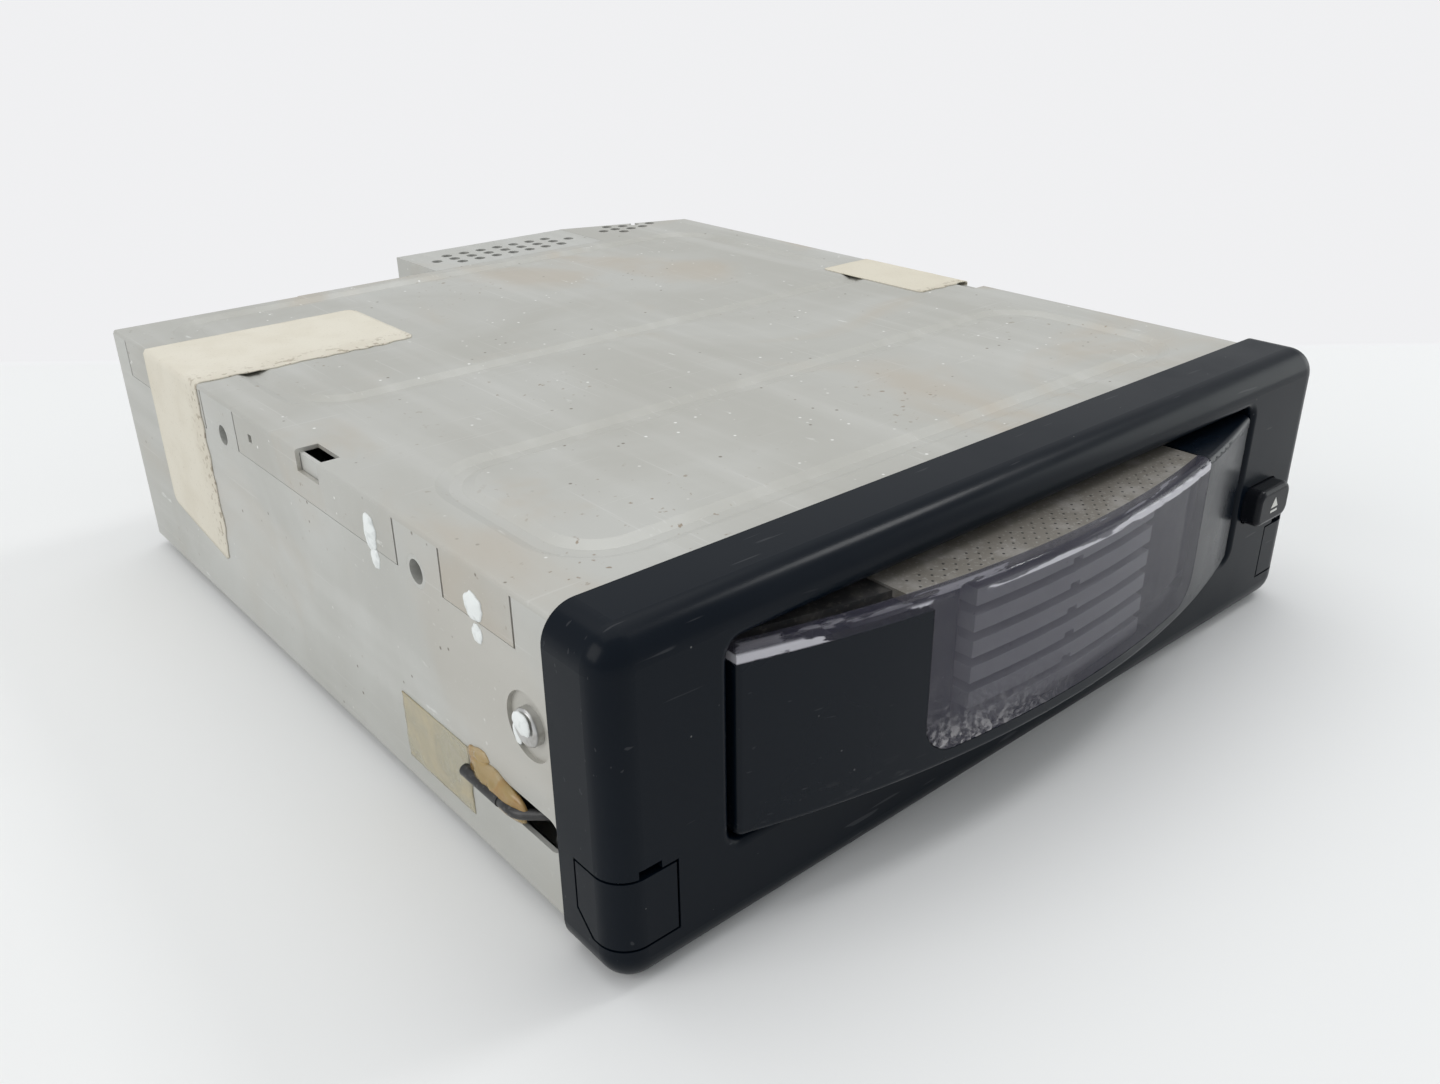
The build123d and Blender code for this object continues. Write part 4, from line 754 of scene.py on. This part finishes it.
@dataclass
class Studio:
    """Pale floor, even surrounding light and four soft lamps."""

    place: FaceFrame
    around: float = 0.62
    sky: Colour = (0.96, 0.98, 1.0)
    lighter_from: float = 0.433
    floor_reach: float = 40.0
    floor_drop: float = 0.00005
    aim: Triple = (0.0, 0.0, 0.03)
    lamps: tuple[tuple[str, Triple, float, float, Colour], ...] = (
        ("overhead", (0.10, 0.35, 1.40), 1.50, 6.6, (1.0, 1.0, 1.0)),
        ("left_fill", (-1.25, 0.15, 0.75), 0.90, 6.2, (1.0, 0.99, 0.97)),
        ("right_window", (1.30, -0.55, 0.30), 0.80, 4.0, (0.96, 1.0, 0.98)),
        ("upper_right", (0.95, -0.32, 1.15), 0.28, 3.2, (1.0, 1.0, 1.0)),
    )

    def build(self) -> None:
        """Makes the floor, the world's light and the lamps."""
        eye = self.place.at(EYE[0], EYE[1], 0.0)
        turn_at = eye.x * AWAY[0] + eye.y * AWAY[1] + self.lighter_from
        mesh = bpy.data.meshes.new("studio_floor")
        reach = self.floor_reach
        rim = [(-reach, -reach, 0.0), (reach, -reach, 0.0), (reach, reach, 0.0), (-reach, reach, 0.0)]
        mesh.from_pydata(rim, [], [(0, 1, 2, 3)])
        mesh.materials.append(FloorPaint("studio_floor", turn_at=turn_at).material())
        floor = bpy.data.objects.new("studio_floor", mesh)
        floor.location.z = -self.floor_drop
        bpy.context.scene.collection.objects.link(floor)
        world = bpy.data.worlds.new("studio_light")
        world.use_nodes = True
        sky = world.node_tree.nodes["Background"]
        sky.inputs["Color"].default_value = (*self.sky, 1.0)
        sky.inputs["Strength"].default_value = self.around
        bpy.context.scene.world = world
        for name, at, width, power, colour in self.lamps:
            data = bpy.data.lights.new(name, "AREA")
            data.shape = "SQUARE"
            data.size = width
            data.energy = power
            data.color = colour
            lamp = bpy.data.objects.new(name, data)
            lamp.location = at
            lamp.rotation_euler = (Vector(self.aim) - lamp.location).to_track_quat("-Z", "Y").to_euler()
            bpy.context.scene.collection.objects.link(lamp)
        bpy.context.scene.view_settings.view_transform = "Standard"
        log.info("studio floor and %d lamps", len(self.lamps))


# ---------------------------------------------------------------- sub-assemblies
@dataclass
class Case:
    """Galvanised lid, pan, side walls and rear cover, with their screws and threaded inserts."""

    metal: Finish = Galvanised("galvanised_case", scratches=0.25)
    lid: Finish = Galvanised("galvanised_lid", light=(0.515, 0.515, 0.485), dark=(0.445, 0.440, 0.405),
                             stains=1.1, scratches=0.25)
    inner: Finish = Galvanised("galvanised_inner", stains=0.1, scratches=0.2)
    screws: Finish = TurnedMetal("plated_screws")

    def build(self) -> None:
        """Dresses the case's solids."""
        dress_nodes(self.metal, "bottom_pan", "left_side", "right_side", "rear_cover")
        dress_nodes(self.lid, "top_lid")
        dress_nodes(self.inner, "front_frame", "clinch_nuts")
        dress_nodes(self.screws, "frame_screws")


@dataclass
class Face:
    """Satin black faceplate with its pry-off covers, eject button and lamp."""

    plate: Finish = SatinBlack("satin_faceplate")
    knob: Finish = SatinBlack("satin_button", colour=(0.010, 0.011, 0.014), roughness=0.2, dust=0.2)
    mark: Finish = Lacquer("mark_white", colour=(0.62, 0.62, 0.58))
    mark_width: float = 2.7
    mark_height: float = 2.2
    mark_low: float = 0.4
    bar_drop: float = 1.1
    bar_height: float = 0.5
    mark_raised: float = 0.04
    mark_sunk: float = 0.1

    def build(self) -> None:
        """Dresses the faceplate's solids and adds the button's mark."""
        dress_nodes(self.plate, "face_plate", "left_screw_cover", "right_screw_cover")
        dress_nodes(self.knob, "eject_button")
        dress_nodes(TurnedMetal("spring_leaf"), "eject_spring")
        dress_nodes(Moulding("lamp_amber", colour=(0.55, 0.28, 0.06), roughness=0.3), "face_lamp")
        self.button_mark()

    def button_mark(self) -> None:
        """Adds the raised triangle and bar on the front of the button."""
        low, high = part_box("eject_button")
        x = (low[0] + high[0]) / 2
        base = (low[2] + high[2]) / 2 - self.mark_low * MM
        front = low[1]
        half = self.mark_width / 2 * MM
        bar = base - self.bar_drop * MM
        bar_top = bar + self.bar_height * MM
        outlines = [
            [(x - half, base), (x + half, base), (x, base + self.mark_height * MM)],
            [(x - half, bar), (x + half, bar), (x + half, bar_top), (x - half, bar_top)],
        ]
        points: Points = []
        faces: Faces = []
        for outline in outlines:
            first = len(points)
            count = len(outline)
            points += [Vector((px, front - self.mark_raised * MM, pz)) for px, pz in outline]
            points += [Vector((px, front + self.mark_sunk * MM, pz)) for px, pz in outline]
            faces.append(tuple(range(first, first + count)))
            faces.append(tuple(reversed(range(first + count, first + 2 * count))))
            for side in range(count):
                after = (side + 1) % count
                faces.append((first + side, first + after, first + count + after, first + count + side))
        piece = shaped("eject_mark", points, faces, self.mark, Body.BUTTON)
        piece.data.shade_flat()


@dataclass
class Magazine:
    """Bulging magazine front with its smoky window, dotted grip pad, trays and shell."""

    place: FaceFrame
    middle_x: float = 89.5
    bulge: float = 10.5
    arc_radius: float = 223.8
    pad_inset: float = 2.95
    pad_left: float = 36.5
    pad_right: float = 41.0
    pad_back: float = -0.6
    pad_top: float = 48.12
    pad_thickness: float = 0.14
    pad_rounding: float = 0.10
    pad_steps: int = 8
    pad_columns: int = 64
    dot_pitch: float = 2.75
    dot_row: float = 1.32
    dot_radius: float = 0.52
    dot_height: float = 0.26
    dot_sides: int = 8
    dot_rings: tuple[tuple[float, float], ...] = ((1.0, -0.08), (0.82, 0.55), (0.45, 0.9))

    def arc_y(self, x_mm: float, inset_mm: float) -> float:
        """Gives the depth of the bulging front's plan at one x, set in by a distance."""
        reach = self.arc_radius - inset_mm
        return -self.bulge + self.arc_radius - (reach**2 - (x_mm - self.middle_x) ** 2) ** 0.5

    def build(self) -> None:
        """Dresses the magazine's solids and adds the grip pad."""
        dress_nodes(MagazineShell("magazine_shell"), "magazine_front", "end_grip")
        dress_nodes(SmokyClear("smoky_window"), "magazine_window")
        grip = Moulding("grip_grey", colour=(0.150, 0.138, 0.118), roughness=0.6, dust_share=0.4)
        case = Moulding("magazine_case", colour=(0.026, 0.026, 0.028), dust=(0.32, 0.30, 0.26),
                        dust_share=0.18)
        plastic = Moulding("tray_plastic", colour=(0.42, 0.42, 0.45), dust=(0.5, 0.5, 0.52), roughness=0.45)
        dress_nodes(grip, "grip_strip")
        dress_nodes(case, "magazine_base", "magazine_cover")
        dress_nodes(plastic, *(f"tray_{number}" for number in range(1, 7)))
        self.grip_pad()
        self.grip_dots()

    def grip_pad(self) -> None:
        """Adds the thin textured pad between the clear strip and the opening's shadow."""
        points, faces = skin(self.pad_steps, self.pad_columns, self.pad_point)
        pad = Moulding("grip_pad", colour=(0.150, 0.142, 0.122), dust=(0.26, 0.25, 0.225), roughness=0.62,
                       dust_share=0.45)
        shaped("grip_pad", points, faces, pad, Body.MAGAZINE)

    def pad_point(self, step: int, column: int) -> tuple[Vector, Vector]:
        """Gives a point on the pad's top and the one under it.

        Args:
            step: row, counted from the pad's front.
            column: place along the row, counted from the left.

        Returns:
            The two points, the upper one first.
        """
        share = step / self.pad_steps
        across = self.pad_columns
        x = self.middle_x - self.pad_left + (self.pad_left + self.pad_right) * column / across
        front = self.arc_y(x, self.pad_inset)
        y = front + (self.pad_back - front) * share
        edge = min(share, 1 - share, column / across * 6, (across - column) / across * 6)
        top = self.pad_top - self.pad_rounding * max(0.0, 1 - edge / 0.09)
        return self.place.at(x, y, top), self.place.at(x, y, self.pad_top - self.pad_thickness - 0.1)

    def grip_dots(self) -> None:
        """Adds the staggered rows of small nubs on the pad, painted near-black as painted shade for the pad's
        holes.
        """
        points: Points = []
        faces: Faces = []
        rows = int((self.arc_y(self.middle_x, self.pad_inset) - self.pad_back) / -self.dot_row)
        columns = int((self.pad_left + self.pad_right - 2.4) / self.dot_pitch)
        for row in range(rows + 1):
            y = self.pad_back - 0.7 - row * self.dot_row
            for column in range(columns + 1):
                x = self.middle_x - self.pad_left + 1.2 + (column + 0.5 * (row % 2)) * self.dot_pitch
                inside = x < self.middle_x + self.pad_right - 0.9
                if inside and y - self.dot_radius > self.arc_y(x, self.pad_inset) + 0.2:
                    self.nub(x, y, points, faces)
        # painted shade: the nubs' near-black colour stands in for the shade inside the pad's holes
        dots_painted_shade = Moulding("grip_dots", colour=(0.006, 0.006, 0.006), dust=(0.04, 0.036, 0.03), roughness=0.5,
                        dust_share=0.15)
        shaped("grip_dots", points, faces, dots_painted_shade, Body.MAGAZINE)

    def nub(self, x_mm: float, y_mm: float, points: Points, faces: Faces) -> None:
        """Adds one low round nub to the lists of corners and faces.

        Args:
            x_mm: the nub's middle, rightwards.
            y_mm: the nub's middle, rearwards.
            points: corners so far.
            faces: faces so far.
        """
        first = len(points)
        for reach, rise in self.dot_rings:
            for side in range(self.dot_sides):
                angle = 2 * pi * side / self.dot_sides
                points.append(self.place.at(x_mm + self.dot_radius * reach * cos(angle),
                                            y_mm + self.dot_radius * reach * sin(angle),
                                            self.pad_top + self.dot_height * rise))
        points.append(self.place.at(x_mm, y_mm, self.pad_top + self.dot_height))
        faces += dome_faces(first, len(self.dot_rings), self.dot_sides)


@dataclass
class Label:
    """A bare paper sticker that is folded from the lid down over one side, with a torn front border."""

    place: FaceFrame
    name: str
    node: str
    side: int
    inward: float
    front: float
    back: float
    down_front: float
    down_back: float
    torn: float
    corner: float
    finish: Finish
    lift: float = 0.06
    thickness: float = 0.12
    bend: float = 0.6
    steps: int = 96
    columns: int = 44

    def build(self) -> None:
        """Makes the sticker in place of its plain solid."""
        points, faces = skin(self.steps, self.columns, self.point)
        piece = shaped(self.name, points, faces, self.finish, Body.CHASSIS)
        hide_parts(self.node)
        log.info("sticker %s goes %.0f mm over the lid", self.name, self.inward)

    def point(self, step: int, column: int) -> tuple[Vector, Vector]:
        """Gives a point on the sticker's face and the one behind it.

        Args:
            step: row, counted from the sticker's inner end over the lid.
            column: place along the row, counted from the front border.

        Returns:
            The two points, the outer one first.
        """
        share_y = column / self.columns
        whole = self.inward + self.down_front + (self.down_back - self.down_front) * share_y
        run = whole * step / self.steps
        y = self.border(run, whole, share_y)
        ripple = 0.05 + 0.05 * rough(run, y, 6.0, self.side)
        return self.folded(run, y, self.lift + self.thickness + ripple), self.folded(run, y, self.lift * 0.3)

    def border(self, run: float, whole: float, share_y: float) -> float:
        """Gives the y of a point between the torn front border and the straight back border.

        Args:
            run: distance from the sticker's inner end.
            whole: the sticker's length along that line.
            share_y: 0 at the front border and 1 at the back.

        Returns:
            The y in millimetres.
        """
        ends = max(0.0, min(run, whole - run))
        cut = 0.0
        if ends < self.corner:
            cut = self.corner - (self.corner**2 - (self.corner - ends) ** 2) ** 0.5
        wave = self.torn * (rough(run, 0.0, 7.0, 3.1) + 0.5 * rough(run, 0.0, 2.3, 5.7))
        front = self.front + cut + max(-0.8, wave)
        back = self.back - cut
        return front + (back - front) * share_y

    def folded(self, run: float, y: float, off: float) -> Vector:
        """Gives a point of the sticker, folded over the lid's edge.

        Args:
            run: distance from the sticker's inner end.
            y: distance behind the face.
            off: height over the metal.

        Returns:
            The point in the shared frame.
        """
        edge_x = self.place.wall_left if self.side < 0 else self.place.wall_right
        top = self.place.lid_top
        flat = self.inward - self.bend
        if run <= flat:
            return self.place.at(edge_x - self.side * (self.inward - run), y, top + off)
        turned = (run - flat) / self.bend
        if turned < pi / 2:
            centre_x = edge_x - self.side * self.bend
            return self.place.at(centre_x + self.side * (self.bend + off) * sin(turned), y,
                                 top - self.bend + (self.bend + off) * cos(turned))
        drop = run - flat - self.bend * pi / 2
        return self.place.at(edge_x + self.side * off, y, top - self.bend - drop)


@dataclass
class Dab:
    """A lump of lacquer or glue on the left wall, drawn as a low dome with an uneven rim."""

    place: FaceFrame
    name: str
    centre: tuple[float, float]
    half: tuple[float, float]
    height: float
    finish: Finish
    slot: str
    seed: float = 0.0
    base: float = 0.0
    lean: float = 0.0
    rings: int = 9
    sides: int = 40

    def build(self) -> None:
        """Makes the dome against the case's left wall."""
        wall = self.place.wall_left - self.base
        points: Points = []
        for ring in range(self.rings):
            reach = 1 - (ring / self.rings) ** 1.4
            for side in range(self.sides):
                angle = 2 * pi * side / self.sides
                uneven = 1 + 0.22 * rough(3 * cos(angle), 3 * sin(angle), 1.6, self.seed)
                y = self.half[0] * reach * uneven * cos(angle)
                z = self.half[1] * reach * uneven * sin(angle)
                y, z = y * cos(self.lean) - z * sin(self.lean), y * sin(self.lean) + z * cos(self.lean)
                lump = 1 + 0.3 * rough(y, z, 1.7, self.seed + 4)
                rise = self.height * max(0.0, 1 - reach**2) ** 0.5 * lump if ring else -0.02
                points.append(self.place.at(wall - rise, self.centre[0] + y, self.centre[1] + z))
        points.append(self.place.at(wall - self.height, *self.centre))
        faces = dome_faces(0, self.rings, self.sides)
        shaped(self.name, points, faces, self.finish, Body.CHASSIS)


@dataclass
class LeadAndTape:
    """The lamp's lead with its sleeve, the yellowed tape, and the glue and lacquer on the left wall."""

    place: FaceFrame
    tape_y: tuple[float, float] = (42.0, 64.0)
    tape_z: tuple[float, float] = (7.0, 20.1)
    tape_steps: int = 40
    tape_columns: int = 28

    def build(self) -> None:
        """Dresses the lead and adds the tape, the glue and the dabs."""
        dress_nodes(Moulding("lead_rubber", colour=(0.012, 0.012, 0.013), roughness=0.38, dust_share=0.12),
                    "lamp_lead", "lead_sleeve")
        self.tape()
        white = Lacquer("lacquer_white")
        glue = ClearFilm("old_glue", colour=(0.56, 0.40, 0.17), deep=(0.34, 0.20, 0.06), solid=0.70,
                         lumps_mm=4.0)
        dabs = (
            Dab(self.place, "lacquer_rear", (67.5, 48.6), (2.1, 3.4), 0.55, white, "paper", 1.0),
            Dab(self.place, "lacquer_rear_run", (66.8, 44.2), (1.5, 1.9), 0.35, white, "paper", 2.0),
            Dab(self.place, "lacquer_front", (35.0, 48.3), (2.6, 2.3), 0.55, white, "paper", 3.0),
            Dab(self.place, "lacquer_front_run", (34.6, 43.9), (1.5, 1.7), 0.35, white, "paper", 4.0),
            Dab(self.place, "lacquer_screw", (22.4, 34.9), (2.3, 1.9), 0.6, white, "paper", 5.0, base=1.1),
            Dab(self.place, "lacquer_drip", (25.6, 31.6), (1.3, 2.1), 0.35, white, "paper", 6.0),
            Dab(self.place, "glue_lump", (33.4, 17.2), (8.2, 3.4), 1.55, glue, "tape", 7.0, lean=0.1),
            Dab(self.place, "glue_edge", (38.8, 20.2), (3.6, 1.5), 0.7, glue, "tape", 8.0, lean=-0.2),
        )
        for dab in dabs:
            dab.build()

    def tape(self) -> None:
        """Adds the wrinkled tape in place of its plain solid."""
        points, faces = skin(self.tape_steps, self.tape_columns, self.tape_point)
        film = ClearFilm("old_tape", colour=(0.56, 0.52, 0.38), deep=(0.50, 0.43, 0.27), solid=0.62,
                         lumps_mm=14.0)
        piece = shaped("wrinkled_tape", points, faces, film, Body.CHASSIS)
        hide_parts("clear_tape")

    def tape_point(self, step: int, column: int) -> tuple[Vector, Vector]:
        """Gives a point on the tape's face and the one behind it.

        Args:
            step: row, counted from the tape's front end.
            column: place along the row, counted upwards.

        Returns:
            The two points, the outer one first.
        """
        y = self.tape_y[0] + (self.tape_y[1] - self.tape_y[0]) * step / self.tape_steps
        z = self.tape_z[0] + (self.tape_z[1] - self.tape_z[0]) * column / self.tape_columns
        y += 0.25 * rough(z, 0.0, 2.0, 1.0) * abs(2 * step / self.tape_steps - 1) ** 6
        z += 0.18 * rough(y, 0.0, 3.0, 2.0) * abs(2 * column / self.tape_columns - 1) ** 6
        pucker = 0.10 + 0.10 * rough(y * 0.5, z, 2.2, 6.0) + 0.08 * rough(y, z * 0.4, 1.1, 8.0)
        wall = self.place.wall_left
        return self.place.at(wall - 0.10 - max(0.0, pucker), y, z), self.place.at(wall - 0.02, y, z)


@dataclass
class Mechanism:
    """Everything inside the case: base plate, guides, lift, playing deck and boards."""

    def build(self) -> None:
        """Dresses the solids inside the case."""
        plain = Galvanised("galvanised_inside", stains=0.05, scratches=0.2)
        turned = TurnedMetal("turned_steel", colour=(0.66, 0.66, 0.66), roughness=0.22)
        pressed = TurnedMetal("pressed_steel", colour=(0.60, 0.59, 0.56), roughness=0.36)
        can = TurnedMetal("motor_can", colour=(0.5, 0.5, 0.5), roughness=0.28)
        white = Moulding("bush_white", colour=(0.80, 0.79, 0.73), dust=(0.6, 0.58, 0.5), roughness=0.4,
                         dust_share=0.1)
        black = Moulding("deck_black", colour=(0.03, 0.03, 0.033), dust=(0.1, 0.1, 0.1), roughness=0.42)
        rubber = Moulding("damper_rubber", colour=(0.02, 0.02, 0.02), dust=(0.1, 0.1, 0.1), roughness=0.7)
        shell = Moulding("socket_black", colour=(0.016, 0.016, 0.018), dust=(0.1, 0.1, 0.1), roughness=0.4)
        dress_nodes(plain, "base_plate", "motor_bracket", "deck_frame")
        dress_nodes(turned, "lift_screw", "lead_screw", "guide_rod")
        dress_nodes(pressed, "clamp_arm", "clamp_pin", "base_posts", "base_screws")
        dress_nodes(can, "lift_motor", "spindle_motor", "sled_motor")
        dress_nodes(white, "deck_bushes", "lift_pinion", "clamp_puck", "magazine_latch")
        dress_nodes(black, "turntable", "pickup_sled", "left_guide", "right_guide")
        dress_nodes(rubber, "rubber_dampers")
        dress_nodes(shell, "rear_socket", "board_parts")
        dress_nodes(TurnedMetal("contact_brass", colour=(0.72, 0.55, 0.25), roughness=0.25), "socket_pins")
        dress_nodes(CircuitBoard("board_green"), "control_board", "rear_board")
        dress_nodes(Moulding("ribbon_white", colour=(0.62, 0.62, 0.60), roughness=0.5), "ribbon_cable")
        dress_nodes(ClearFilm("lens_coating", colour=(0.25, 0.30, 0.55), deep=(0.2, 0.22, 0.5), solid=0.8),
                    "focus_lens")


def main() -> None:
    """Builds the sub-assemblies in order."""
    logging.basicConfig(level=logging.INFO, format="%(name)s: %(message)s")
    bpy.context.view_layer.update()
    place = FaceFrame()
    Camera(place).build()
    Studio(place).build()
    Case().build()
    Face().build()
    Magazine(place).build()
    paper = AgedPaper("label_paper", dark_edge_y=(place.at(0, 144, 0).y, place.at(0, 152, 0).y))
    small = AgedPaper("small_label_paper", colour=(0.66, 0.62, 0.52),
                      dark_edge_y=(place.at(0, 92, 0).y, place.at(0, 96, 0).y))
    Label(place, "label_left", "paper_label_left", side=-1, inward=49.4, front=143.5, back=176.0,
          down_front=40.0, down_back=36.0, torn=1.3, corner=2.2, finish=paper).build()
    Label(place, "label_right", "paper_label_right", side=1, inward=17.5, front=92.0, back=127.0,
          down_front=20.0, down_back=20.0, torn=0.8, corner=1.2, finish=small).build()
    LeadAndTape(place).build()
    Mechanism().build()


if __name__ == "__main__":
    main()
